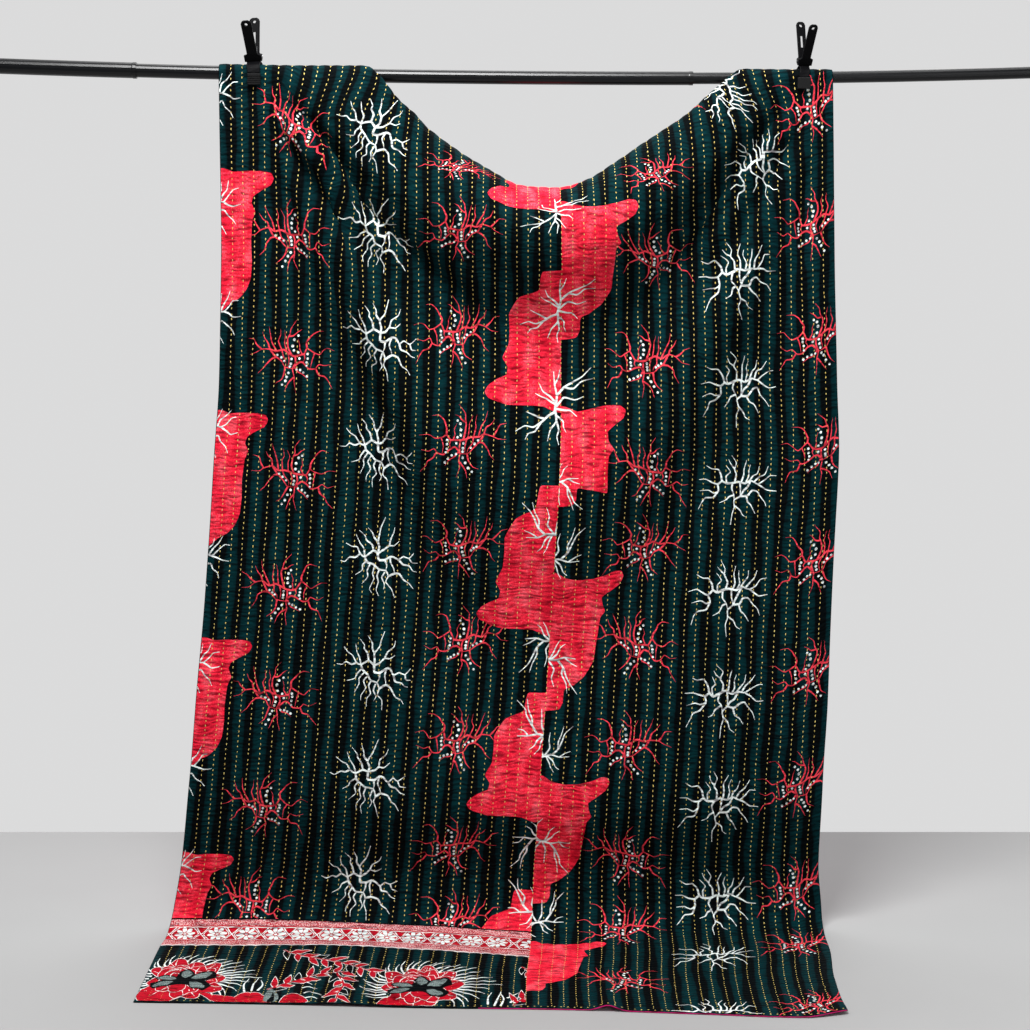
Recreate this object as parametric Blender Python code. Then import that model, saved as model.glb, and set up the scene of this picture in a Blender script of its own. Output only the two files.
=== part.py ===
"""A kantha quilt hung over a telescopic rod by two spring clamps, its lower end laid on the floor.

Metres, +Z up, the rod along X, the printed face towards -Y, z = 0 at the floor.
The quilt is one quilted sheet. It goes over the rod at both sides, sags in a swag between
the clamps, where its top end falls over behind it, and bends onto the floor at the bottom.
"""

import math

import bmesh
import bpy
import numpy as np

# ---------------------------------------------------------------- driving sizes
QUILT_WIDTH = 1.42
CHANNELS = 56  # quilted channels between the rows of running stitch, side to side
SHEET_THICKNESS = 0.0024  # at a row of stitches
CHANNEL_RISE = 0.0013  # how far a channel stands up between two rows
FLOOR_CLEARANCE = 0.5 * SHEET_THICKNESS

ROD_Y = 0.2487  # the rod's axis; the whole object is centred on y = 0
ROD_HALF_LENGTH = 1.10
ROD_LOW_X = 0.34  # where the rod sags lowest
ROD_LOW_Z = 1.826
ROD_BOW_LEFT = 0.0126  # rise per square metre to the left of the low point
ROD_BOW_RIGHT = 0.0220
TUBE_WALL = 0.0015
TUBE_SIDES = 20
COLLAR_LENGTH = 0.009
END_WALL = 0.003
TUBE_STEP = 0.11  # longest straight piece of a tube

# One row for each telescoping tube: name, outer radius, left end, right end, what is
# closed, and how far the crimped collar at its open step stands out.
TUBES = (
    ("rod_thick_tube", 0.016, -1.100, -0.780, "left", 0.0008),
    ("rod_middle_tube", 0.014, -0.900, 0.367, "none", 0.0005),
    ("rod_thin_tube", 0.012, 0.247, 1.100, "right", 0.0),
)

# ---------------------------------------------------------------- the quilt's form
# Left and right edges against the level. The level is the height where the quilt hangs,
# and below zero it is how far the quilt has run forward on the floor.
EDGE_COLUMNS = ("level", "left_x", "right_x")
EDGES = (
    (-0.440, -0.764, 0.657),
    (-0.340, -0.762, 0.654),
    (-0.220, -0.760, 0.656),
    (-0.040, -0.757, 0.669),
    (0.040, -0.745, 0.668),
    (0.150, -0.725, 0.660),
    (0.330, -0.702, 0.662),
    (0.510, -0.683, 0.669),
    (0.730, -0.660, 0.673),
    (1.040, -0.634, 0.682),
    (1.200, -0.621, 0.675),
    (1.540, -0.609, 0.662),
    (1.860, -0.608, 0.652),
)
FLOOR_LEVEL_START = -0.10  # y, from the rod, past which the level counts along the floor

# The fold line over the rod and along the swag, from the left edge (u = 0) to the right
# edge (u = 1): where it lies, the radius of the turn behind it, the length of the top end
# beyond it, and how far the sheet is drawn aside there. The top end crosses over the rod
# where it is nearly all used up.
TOP_COLUMNS = ("u", "y", "z", "back_radius", "flap", "drawn_x")
TOP = (
    (0.0000, 0.0000, 1.8537, 0.0162, 0.056, 0.000),
    (0.0600, 0.0000, 1.8518, 0.0162, 0.056, 0.004),
    (0.1200, 0.0000, 1.8502, 0.0166, 0.054, 0.018),
    (0.1607, 0.0000, 1.8501, 0.0176, 0.038, 0.026),
    (0.1786, 0.0000, 1.8503, 0.0182, 0.022, 0.029),
    (0.1964, 0.0000, 1.8502, 0.0186, 0.008, 0.031),
    (0.2143, -0.0140, 1.8492, 0.0060, 0.006, 0.032),
    (0.2321, -0.0258, 1.8345, 0.0065, 0.008, 0.032),
    (0.2500, -0.0255, 1.8125, 0.0090, 0.024, 0.028),
    (0.2679, -0.0230, 1.7920, 0.0140, 0.052, 0.021),
    (0.2857, -0.0170, 1.7760, 0.0180, 0.078, 0.013),
    (0.3100, -0.0080, 1.7560, 0.0220, 0.108, 0.005),
    (0.3400, 0.0000, 1.7210, 0.0260, 0.145, 0.000),
    (0.3800, 0.0030, 1.6830, 0.0280, 0.185, 0.000),
    (0.4400, 0.0050, 1.6360, 0.0300, 0.220, 0.000),
    (0.4900, 0.0060, 1.6050, 0.0310, 0.238, 0.000),
    (0.5500, 0.0060, 1.6005, 0.0310, 0.242, 0.000),
    (0.6000, 0.0060, 1.6180, 0.0310, 0.236, 0.000),
    (0.6400, 0.0050, 1.6490, 0.0300, 0.222, 0.000),
    (0.6900, 0.0040, 1.6910, 0.0280, 0.190, 0.000),
    (0.7400, 0.0000, 1.7310, 0.0250, 0.145, -0.001),
    (0.7750, -0.0080, 1.7610, 0.0210, 0.105, -0.004),
    (0.8036, -0.0170, 1.7890, 0.0160, 0.066, -0.010),
    (0.8214, -0.0225, 1.8030, 0.0110, 0.040, -0.016),
    (0.8393, -0.0240, 1.8165, 0.0080, 0.020, -0.022),
    (0.8571, -0.0236, 1.8315, 0.0060, 0.008, -0.027),
    (0.8750, -0.0127, 1.8427, 0.0058, 0.006, -0.028),
    (0.8929, 0.0000, 1.8433, 0.0168, 0.008, -0.029),
    (0.9107, 0.0000, 1.8430, 0.0163, 0.024, -0.027),
    (0.9400, 0.0000, 1.8422, 0.0151, 0.048, -0.016),
    (0.9700, 0.0000, 1.8421, 0.0145, 0.056, -0.005),
    (1.0000, 0.0000, 1.8424, 0.0142, 0.056, 0.000),
)
DRAWN_DEPTH = 0.11  # below the fold line the sheet is no longer drawn aside

# The two festoons that hang from the clamps: the brow of the swag, the hollow below it,
# the second fold's brow and the hollow below that, each as y from the rod and z.
FOLD_COLUMNS = (
    "u", "brow1_y", "brow1_z", "hollow1_y", "hollow1_z",
    "brow2_y", "brow2_z", "hollow2_y", "hollow2_z",
)
FOLDS = (
    (0.00, -0.0162, 1.8375, -0.018, 1.770, -0.020, 1.680, -0.018, 1.550),
    (0.06, -0.0162, 1.8356, -0.018, 1.790, -0.019, 1.740, -0.018, 1.660),
    (0.14, -0.0340, 1.7800, -0.016, 1.740, -0.037, 1.680, -0.012, 1.505),
    (0.24, -0.0580, 1.6500, -0.014, 1.567, -0.054, 1.340, -0.010, 1.180),
    (0.34, -0.0880, 1.5700, -0.018, 1.412, -0.070, 1.100, -0.018, 0.786),
    (0.44, -0.1030, 1.5300, -0.024, 1.308, -0.078, 0.980, -0.030, 0.645),
    (0.54, -0.1080, 1.5120, -0.028, 1.277, -0.080, 0.950, -0.036, 0.600),
    (0.64, -0.1010, 1.5300, -0.024, 1.318, -0.074, 1.020, -0.032, 0.677),
    (0.74, -0.0840, 1.6000, -0.018, 1.443, -0.060, 1.170, -0.020, 0.905),
    (0.84, -0.0560, 1.7100, -0.014, 1.629, -0.044, 1.390, -0.014, 1.150),
    (0.90, -0.0320, 1.7740, -0.014, 1.730, -0.030, 1.600, -0.013, 1.370),
    (0.95, -0.0142, 1.8273, -0.016, 1.775, -0.018, 1.730, -0.016, 1.650),
    (1.00, -0.0142, 1.8282, -0.016, 1.760, -0.018, 1.660, -0.016, 1.520),
)

# The lower body: the belly that swings forward, the neck above the floor, and the hem.
FOOT_COLUMNS = ("u", "belly_y", "belly_z", "neck_y", "neck_z", "hem_y")
FOOT = (
    (0.00, -0.036, 0.330, -0.012, 0.090, -0.457),
    (0.20, -0.048, 0.310, -0.016, 0.105, -0.468),
    (0.40, -0.062, 0.290, -0.022, 0.115, -0.486),
    (0.60, -0.064, 0.290, -0.024, 0.115, -0.496),
    (0.80, -0.054, 0.310, -0.018, 0.105, -0.520),
    (0.94, -0.042, 0.330, -0.014, 0.100, -0.537),
    (1.00, -0.038, 0.340, -0.012, 0.100, -0.518),
)
BEND_DROP = 0.70  # share of the neck's height that hangs before the bend turns
BEND_REACH = 0.10  # how far forward of the neck the quilt comes to lie flat

# Soft ripples of the whole face: depth, waves across, waves down, phase.
RIPPLES = (
    (0.0030, 3.3, 1.1, 0.10),
    (0.0022, 5.7, 2.3, 0.45),
    (0.0016, 9.1, 3.7, 0.80),
)
# Lifted places of the hem: u, height, half width in u, half length back from the hem.
HEM_LIFTS = (
    (0.668, 0.011, 0.016, 0.045),
    (1.000, 0.007, 0.040, 0.060),
    (0.300, 0.004, 0.060, 0.080),
)

# How many rows of faces each stretch of the path takes, from the top end to the hem.
FLAP_ROWS, TURN_ROWS, FOLD_ROWS, HANG_ROWS, NECK_ROWS, BEND_ROWS, FLOOR_ROWS = 7, 5, 3, 3, 2, 4, 3
FLAP_CROWDING = 1.35  # rows crowd towards the fold line by this power

# ---------------------------------------------------------------- the clamps
# One row for each clamp: name, x, radius of the rod with the quilt round it, the handles'
# turn about the upright and tilt along the rod, widths of handles, ears and arms, cap ribs.
CLAMP_COLUMNS = ("name", "x", "grip", "twist", "tilt", "handle", "ears", "arm", "ribs")
CLAMPS = (
    ("left", -0.536, 0.0190, math.radians(-6.5), math.radians(-3.2), 0.0222, 0.0362, 0.0276, 5),
    ("right", 0.594, 0.0170, math.radians(12.0), math.radians(1.5), 0.0192, 0.0304, 0.0204, 0),
)
CLAMP_LEAN = math.radians(6.0)  # both lean forward about the rod
TURN_START_Z = 0.003  # the arms take up turn, tilt and lean between these heights
TURN_END_Z = 0.024
PIVOT_HEIGHT = 0.034  # from the rod's axis to the pivot pin
HANDLE_LENGTH = 0.087
HANDLE_SPLAY = math.radians(25.0)  # each handle, away from the clamp's middle
WEB_OFFSET = 0.0074  # from the pivot pin to the middle of a lever's plate
PIN_RADIUS = 0.0022
PIN_CLEARANCE = 0.0004
EAR_RADIUS = 0.0054
EAR_HALF_HEIGHT = 0.0080
EAR_THICKNESS = 0.0026
EAR_GAP = 0.0005  # between the front lever's ears and the back lever's
SPRING_WIRE = 0.0016
SPRING_RADIUS = 0.0042
SPRING_TURNS = 4
SPRING_PITCH = 0.0030
SPRING_LEG = 0.024
CAP_WIDTH = 0.0260  # a rubber cap on each jaw
CAP_HEIGHT = 0.0235
CAP_WALL = 0.0025
CAP_RIB_HEIGHT = 0.0011
CAP_Z = {-1: -0.0115, 1: -0.0075}  # middle of the front and back caps from the rod's axis
CAP_GAP = 0.0010  # between a cap and the quilt
TONGUE_WIDTH = 0.012  # the jaw's end, inside the cap
TONGUE_THICKNESS = 0.0036
TONGUE_DEPTH = 0.018

HOLE_RADIUS = 0.0035
HOLE_FROM_TIP = 0.0085
SLOT_WIDTH = 0.0055
SLOT_START = 0.030  # from the tip
SLOT_END = 0.056

GAP = 0.0003


# ---------------------------------------------------------------- small helpers
def column(rows, names, wanted):
    """One named column of a table."""
    return np.array([row[names.index(wanted)] for row in rows], float)


def smooth(xs, ys, x):
    """Reads a table column at x along a smooth curve that doesn't overshoot its points."""
    step = np.diff(xs)
    rise = np.diff(ys) / step
    slope = np.zeros(len(xs))
    same = rise[:-1] * rise[1:] > 0
    total = np.where(same, rise[:-1] + rise[1:], 1.0)
    slope[1:-1] = np.where(same, 2 * rise[:-1] * rise[1:] / total, 0.0)
    slope[0], slope[-1] = rise[0], rise[-1]
    i = np.clip(np.searchsorted(xs, x, side="right") - 1, 0, len(xs) - 2)
    t = np.clip((x - xs[i]) / step[i], 0.0, 1.0)
    return (
        (1 + 2 * t) * (1 - t) ** 2 * ys[i]
        + t * (1 - t) ** 2 * step[i] * slope[i]
        + t * t * (3 - 2 * t) * ys[i + 1]
        + t * t * (t - 1) * step[i] * slope[i + 1]
    )


def read(rows, names, wanted, u):
    """A table column at every u."""
    return smooth(column(rows, names, names[0]), column(rows, names, wanted), u)


def ease(t):
    return t * t * (3 - 2 * t)


def rod_z(x):
    """Height of the rod's axis: it bows down to its low point."""
    away = np.asarray(x, float) - ROD_LOW_X
    return ROD_LOW_Z + np.where(away < 0, ROD_BOW_LEFT, ROD_BOW_RIGHT) * away**2


def material(name, colour, roughness, metallic=0.0):
    made = bpy.data.materials.new(name)
    made.use_nodes = True
    shader = made.node_tree.nodes["Principled BSDF"]
    shader.inputs["Base Color"].default_value = (*colour, 1.0)
    shader.inputs["Roughness"].default_value = roughness
    shader.inputs["Metallic"].default_value = metallic
    return made


def make_object(name, points, faces, finish):
    """One mesh object from points and faces."""
    mesh = bpy.data.meshes.new(name)
    mesh.from_pydata([tuple(map(float, p)) for p in points], [], faces)
    mesh.materials.append(finish)
    mesh.shade_smooth()
    mesh.set_sharp_from_angle(angle=math.radians(35.0))
    made = bpy.data.objects.new(name, mesh)
    bpy.context.scene.collection.objects.link(made)
    return made


def loft(rings):
    """Points and faces of a closed body through rings of equal point counts."""
    count = len(rings[0])
    points = [p for ring in rings for p in ring]
    faces = []
    for r in range(len(rings) - 1):
        low, high = r * count, (r + 1) * count
        for k in range(count):
            n = (k + 1) % count
            faces.append((low + k, low + n, high + n, high + k))
    faces.append(tuple(reversed(range(count))))
    faces.append(tuple(range((len(rings) - 1) * count, len(rings) * count)))
    return points, faces


def face_outward(made):
    """Turns every face of a closed body outwards."""
    bm = bmesh.new()
    bm.from_mesh(made.data)
    bmesh.ops.recalc_face_normals(bm, faces=bm.faces)
    bm.to_mesh(made.data)
    bm.free()
    return made


def bar_along_x(radius, half_length, sides, centre):
    """A round bar's points and faces, its axis along X."""
    rings = []
    for x in (-half_length, half_length):
        ring = []
        for k in range(sides):
            a = 2 * math.pi * k / sides
            ring.append((centre[0] + x, centre[1] + radius * math.cos(a), centre[2] + radius * math.sin(a)))
        rings.append(ring)
    return loft(rings)


def boolean(target, tool, operation):
    """Applies one exact Boolean and deletes the tool."""
    step = target.modifiers.new("cut", "BOOLEAN")
    step.object = tool
    step.operation = operation
    step.solver = "EXACT"
    bpy.context.view_layer.update()
    evaluated = target.evaluated_get(bpy.context.evaluated_depsgraph_get())
    result = bpy.data.meshes.new_from_object(evaluated)
    target.modifiers.clear()
    target.data = result
    bpy.data.objects.remove(tool)
    return target


# ---------------------------------------------------------------- the quilt
def sheet_path(u):
    """The middle of the sheet along each line u, from the top end to the hem: y and z."""
    top_y = read(TOP, TOP_COLUMNS, "y", u)
    top_z = read(TOP, TOP_COLUMNS, "z", u)
    radius = read(TOP, TOP_COLUMNS, "back_radius", u)
    flap = read(TOP, TOP_COLUMNS, "flap", u)
    ys, zs = [], []

    quarter = 0.5 * math.pi * radius
    for k in range(FLAP_ROWS, -1, -1):
        run = flap * (k / FLAP_ROWS) ** FLAP_CROWDING
        angle = np.minimum(run, quarter) / radius
        ys.append(top_y + radius * np.sin(angle))
        zs.append(top_z - radius * (1 - np.cos(angle)) - np.maximum(run - quarter, 0.0))

    brow_y = read(FOLDS, FOLD_COLUMNS, "brow1_y", u)
    brow_z = read(FOLDS, FOLD_COLUMNS, "brow1_z", u)
    for k in range(1, TURN_ROWS + 1):
        angle = 0.5 * math.pi * k / TURN_ROWS
        ys.append(top_y + (brow_y - top_y) * math.sin(angle))
        zs.append(brow_z + (top_z - brow_z) * math.cos(angle))

    stops = (
        ("hollow1", FOLDS, FOLD_COLUMNS, FOLD_ROWS),
        ("brow2", FOLDS, FOLD_COLUMNS, FOLD_ROWS),
        ("hollow2", FOLDS, FOLD_COLUMNS, FOLD_ROWS),
        ("belly", FOOT, FOOT_COLUMNS, HANG_ROWS),
        ("neck", FOOT, FOOT_COLUMNS, NECK_ROWS),
    )
    for stop, rows, names, count in stops:
        from_y, from_z = ys[-1], zs[-1]
        to_y = read(rows, names, stop + "_y", u)
        to_z = read(rows, names, stop + "_z", u)
        for k in range(1, count + 1):
            t = k / count
            ys.append(from_y + (to_y - from_y) * ease(t))
            zs.append(from_z + (to_z - from_z) * t)

    neck_y, neck_z = ys[-1], zs[-1]
    lying = FLOOR_CLEARANCE
    drop_z = neck_z - BEND_DROP * (neck_z - lying)
    flat_y = neck_y - BEND_REACH
    for k in range(1, BEND_ROWS + 1):
        t = k / BEND_ROWS
        hang, turn_in, turn_out, land = (1 - t) ** 3, 3 * t * (1 - t) ** 2, 3 * t * t * (1 - t), t**3
        turn_y = neck_y - 0.2 * BEND_REACH
        ys.append(hang * neck_y + turn_in * neck_y + turn_out * turn_y + land * flat_y)
        zs.append(hang * neck_z + turn_in * drop_z + (turn_out + land) * lying)
    hem_y = read(FOOT, FOOT_COLUMNS, "hem_y", u)
    for k in range(1, FLOOR_ROWS + 1):
        t = k / FLOOR_ROWS
        ys.append(flat_y + (hem_y - flat_y) * t)
        zs.append(np.full_like(u, lying))
    return np.array(ys), np.array(zs)


def sheet_points(u):
    """The middle of the sheet as a grid of points, one row for each step of the path."""
    y, z = sheet_path(u)
    hem_y = read(FOOT, FOOT_COLUMNS, "hem_y", u)
    for lift_u, height, half_width, half_length in HEM_LIFTS:
        across = np.exp(-(((u - lift_u) / half_width) ** 2))
        back = np.exp(-(((y - hem_y) / half_length) ** 2)) * (z < 0.02)
        z = z + height * across * back
    hanging = ease(np.clip((z - 0.12) / 0.5, 0, 1)) * ease(np.clip((1.72 - z) / 0.3, 0, 1))
    front = (np.arange(len(y))[:, None] > FLAP_ROWS).astype(float)
    for depth, across, down, phase in RIPPLES:
        y = y + depth * hanging * front * np.sin(2 * math.pi * (across * u + down * z + phase))
    level = z + np.minimum(0.0, y - FLOOR_LEVEL_START)
    left = read(EDGES, EDGE_COLUMNS, "left_x", level)
    right = read(EDGES, EDGE_COLUMNS, "right_x", level)
    below = read(TOP, TOP_COLUMNS, "z", u) - z
    drawn = read(TOP, TOP_COLUMNS, "drawn_x", u) * (1 - ease(np.clip(below / DRAWN_DEPTH, 0, 1)))
    x = left + (right - left) * u + drawn
    return np.stack([x, y + ROD_Y, z], axis=-1)


def sheet_normals(grid):
    """Normals of a grid of points, towards the printed face."""
    along = np.gradient(grid, axis=0)
    across = np.gradient(grid, axis=1)
    normal = np.cross(along, across)
    return normal / np.linalg.norm(normal, axis=-1, keepdims=True)


def build_quilt(finish):
    """The quilt: channels stand up on the printed face; the lining side stays smooth."""
    fine = np.linspace(0.0, 1.0, 2 * CHANNELS + 1)
    middle = sheet_points(fine)
    normal = sheet_normals(middle)
    rise = np.where(np.arange(len(fine)) % 2 == 1, CHANNEL_RISE, 0.0)
    front = middle + normal * (0.5 * SHEET_THICKNESS + rise)[None, :, None]
    back = (middle - normal * 0.5 * SHEET_THICKNESS)[:, ::2]
    back[..., 2] = np.maximum(back[..., 2], 0.0)

    rows, front_count, back_count = front.shape[0], front.shape[1], back.shape[1]
    points = np.concatenate([front.reshape(-1, 3), back.reshape(-1, 3)])
    first_back = rows * front_count
    faces = []
    for r in range(rows - 1):
        for c in range(front_count - 1):
            a = r * front_count + c
            faces.append((a, a + 1, a + 1 + front_count, a + front_count))
        for c in range(back_count - 1):
            a = first_back + r * back_count + c
            faces.append((a, a + back_count, a + 1 + back_count, a + 1))
        for side_front, side_back in ((0, 0), (front_count - 1, back_count - 1)):
            f = r * front_count + side_front
            b = first_back + r * back_count + side_back
            ring = (f, f + front_count, b + back_count, b)
            faces.append(ring if side_front == 0 else tuple(reversed(ring)))
    for r in (0, rows - 1):
        for c in range(back_count - 1):
            f = r * front_count + 2 * c
            b = first_back + r * back_count + c
            ring = (f, b, b + 1, f + 2, f + 1)
            faces.append(ring if r == 0 else tuple(reversed(ring)))
    return face_outward(make_object("quilt", points, faces, finish))


# ---------------------------------------------------------------- the rod
def build_tube(name, radius, left, right, closed, collar, finish):
    """One bowed tube of the telescopic rod. Its inner end is open, its far end has a wall."""
    inner = radius - TUBE_WALL
    outer_stops = list(np.linspace(left, right, max(2, math.ceil((right - left) / TUBE_STEP)) + 1))
    outer = [(x, radius) for x in outer_stops]
    if collar:
        outer[-1:] = [
            (right - COLLAR_LENGTH, radius),
            (right - 0.8 * COLLAR_LENGTH, radius + collar),
            (right, radius + collar),
        ]
    bore_left = left + END_WALL if closed == "left" else left
    bore_right = right - END_WALL if closed == "right" else right
    bore = [(x, inner) for x in outer_stops if bore_left < x < bore_right]
    bore = [(bore_left, inner), *bore, (bore_right, inner)]
    rings = outer + bore[::-1]
    points, faces = [], []
    for x, r in rings:
        for k in range(TUBE_SIDES):
            a = 2 * math.pi * k / TUBE_SIDES
            points.append((x, ROD_Y + r * math.cos(a), rod_z(x) + r * math.sin(a)))
    for i in range(len(rings)):
        j = (i + 1) % len(rings)
        bridging = (closed == "left" and j == 0) or (closed == "right" and i == len(outer) - 1)
        if bridging:
            continue
        for k in range(TUBE_SIDES):
            n = (k + 1) % TUBE_SIDES
            low, high = i * TUBE_SIDES, j * TUBE_SIDES
            faces.append((low + k, low + n, high + n, high + k))
    ring_of = {"left": (0, len(rings) - 1), "right": (len(outer) - 1, len(outer)), "none": ()}
    for i in ring_of[closed]:
        faces.append(tuple(i * TUBE_SIDES + k for k in range(TUBE_SIDES)))
    return face_outward(make_object(name, points, faces, finish))


# ---------------------------------------------------------------- the clamps
def bar_section(centre, along, width, thickness):
    """Eight points of a chamfered bar section, square to its path in the YZ plane."""
    across = np.array((-along[1], along[0]))
    cut = 0.28 * min(width, thickness)
    half_w, half_t = 0.5 * width, 0.5 * thickness
    corners = (
        (half_w - cut, half_t), (half_w, half_t - cut), (half_w, cut - half_t), (half_w - cut, -half_t),
        (cut - half_w, -half_t), (-half_w, cut - half_t), (-half_w, half_t - cut), (cut - half_w, half_t),
    )
    return [(w, *(np.array(centre) + across * t)) for w, t in corners]


def handle_frame(side):
    """A handle's direction and the way it faces, in the YZ plane: -1 front, 1 back."""
    handle = np.array((side * math.sin(HANDLE_SPLAY), math.cos(HANDLE_SPLAY)))
    square = np.array((side * math.cos(HANDLE_SPLAY), -math.sin(HANDLE_SPLAY)))
    return handle, square


def tongue_y(grip):
    return grip + CAP_GAP + CAP_WALL + GAP + 0.5 * TONGUE_THICKNESS


def lever_stations(side, clamp):
    """A lever from its handle's tip to the tongue: place, width and thickness."""
    handle, square = handle_frame(side)
    foot = np.array((0.0, PIVOT_HEIGHT)) + square * WEB_OFFSET
    flare = clamp["ears"] - 0.0012 - (0.0 if side < 0 else 2 * (EAR_THICKNESS + EAR_GAP))
    wide, arm = clamp["handle"], clamp["arm"]
    stations = []
    for up, width, thickness in (
        (HANDLE_LENGTH, 0.50 * wide, 0.0030),
        (HANDLE_LENGTH - 0.0025, 0.82 * wide, 0.0040),
        (HANDLE_LENGTH - 0.0070, wide, 0.0048),
        (0.050, 0.98 * wide, 0.0050),
        (0.0115, 0.98 * wide, 0.0044),
        (0.0070, flare, 0.0034),
        (-0.0055, flare, 0.0030),
        (-0.0080, arm, 0.0034),
    ):
        stations.append((foot + handle * up, width, thickness))
    reach = clamp["grip"] + 0.0052
    for angle in (46, 26):
        a = math.radians(angle)
        place = np.array((side * math.cos(a), math.sin(a))) * reach
        stations.append((place, arm, 0.0046))
    y, cap_top = side * tongue_y(clamp["grip"]), CAP_Z[side] + 0.5 * CAP_HEIGHT
    stations.append((np.array((y, cap_top + 0.0016)), 0.94 * arm, 0.0040))
    stations.append((np.array((y, cap_top + 0.0005)), TONGUE_WIDTH, TONGUE_THICKNESS))
    stations.append((np.array((y, cap_top - TONGUE_DEPTH)), TONGUE_WIDTH, TONGUE_THICKNESS))
    return stations


def seat(made, clamp, turned=True):
    """Turns a clamp piece with its clamp, and moves it from the rod's axis to its place."""
    centre = (clamp["x"], ROD_Y, float(rod_z(clamp["x"])))
    for vertex in made.data.vertices:
        x, y, z = vertex.co
        t = ease(min(max((z - TURN_START_Z) / (TURN_END_Z - TURN_START_Z), 0.0), 1.0)) * turned
        for angle, turn in ((CLAMP_LEAN, "lean"), (clamp["tilt"], "tilt"), (clamp["twist"], "twist")):
            c, s = math.cos(angle * t), math.sin(angle * t)
            if turn == "lean":
                y, z = y * c - z * s, y * s + z * c
            elif turn == "tilt":
                x, z = x * c + z * s, z * c - x * s
            else:
                x, y = x * c - y * s, x * s + y * c
        vertex.co = (x + centre[0], y + centre[1], z + centre[2])
    made.data.shade_smooth()
    made.data.set_sharp_from_angle(angle=math.radians(35.0))
    return face_outward(made)


def cut_through(lever, place, square, outline, finish):
    """Cuts an outline, given across and along the handle, through a lever's plate."""
    handle = np.array((-square[1], square[0]))
    rings = []
    for out in (-0.01, 0.01):
        rings.append([(x, *(place + square * out + handle * up)) for x, up in outline])
    tool = face_outward(make_object(lever.name + "_cut", *loft(rings), finish))
    boolean(lever, tool, "DIFFERENCE")


def build_lever(side, clamp, finish):
    """One lever: its handle with a hanging hole, two ears round the pivot pin, and a jaw."""
    place = {-1: "front", 1: "back"}[side]
    name = f"{clamp['name']}_clamp_{place}_lever"
    stations = lever_stations(side, clamp)
    centres = [s[0] for s in stations]
    rings = []
    for i, (centre, width, thickness) in enumerate(stations):
        ahead = centres[min(i + 1, len(centres) - 1)] - centres[max(i - 1, 0)]
        rings.append(bar_section(centre, ahead / np.linalg.norm(ahead), width, thickness))
    lever = face_outward(make_object(name, *loft(rings), finish))

    handle, square = handle_frame(side)
    pivot = np.array((0.0, PIVOT_HEIGHT))
    foot = pivot + square * WEB_OFFSET
    far = 0.5 * clamp["ears"] - (0.0 if side < 0 else EAR_THICKNESS + EAR_GAP)
    outline = []
    for k in range(9):
        a = math.pi * (k / 8 - 0.5)
        outline.append(pivot - square * EAR_RADIUS * math.cos(a) + handle * EAR_RADIUS * math.sin(a))
    outline.append(foot - square * 0.001 + handle * EAR_HALF_HEIGHT)
    outline.append(foot + square * 0.0008 + handle * EAR_HALF_HEIGHT)
    outline.append(foot + square * 0.0008 - handle * EAR_HALF_HEIGHT * 0.8)
    outline.append(foot - square * 0.001 - handle * EAR_HALF_HEIGHT * 0.8)
    for sign in (-1, 1):
        rings = [[(sign * x, *p) for p in outline] for x in (far - EAR_THICKNESS, far)]
        ear = face_outward(make_object(name + "_ear", *loft(rings), finish))
        boolean(lever, ear, "UNION")
    bore = bar_along_x(PIN_RADIUS + PIN_CLEARANCE, 0.03, 16, (0.0, *pivot))
    boolean(lever, face_outward(make_object(name + "_bore", *bore, finish)), "DIFFERENCE")

    turn = [2 * math.pi * k / 16 for k in range(16)]
    ring = [(HOLE_RADIUS * math.cos(a), HOLE_RADIUS * math.sin(a)) for a in turn]
    cut_through(lever, foot + handle * (HANDLE_LENGTH - HOLE_FROM_TIP), side * square, ring, finish)
    if side > 0:
        half = 0.5 * (SLOT_END - SLOT_START)
        ring = [(0.5 * SLOT_WIDTH * a, half * b) for a, b in ((-1, -1), (1, -1), (1, 1), (-1, 1))]
        middle = foot + handle * (HANDLE_LENGTH - 0.5 * (SLOT_START + SLOT_END))
        cut_through(lever, middle, side * square, ring, finish)
    seat(lever, clamp)


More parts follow.
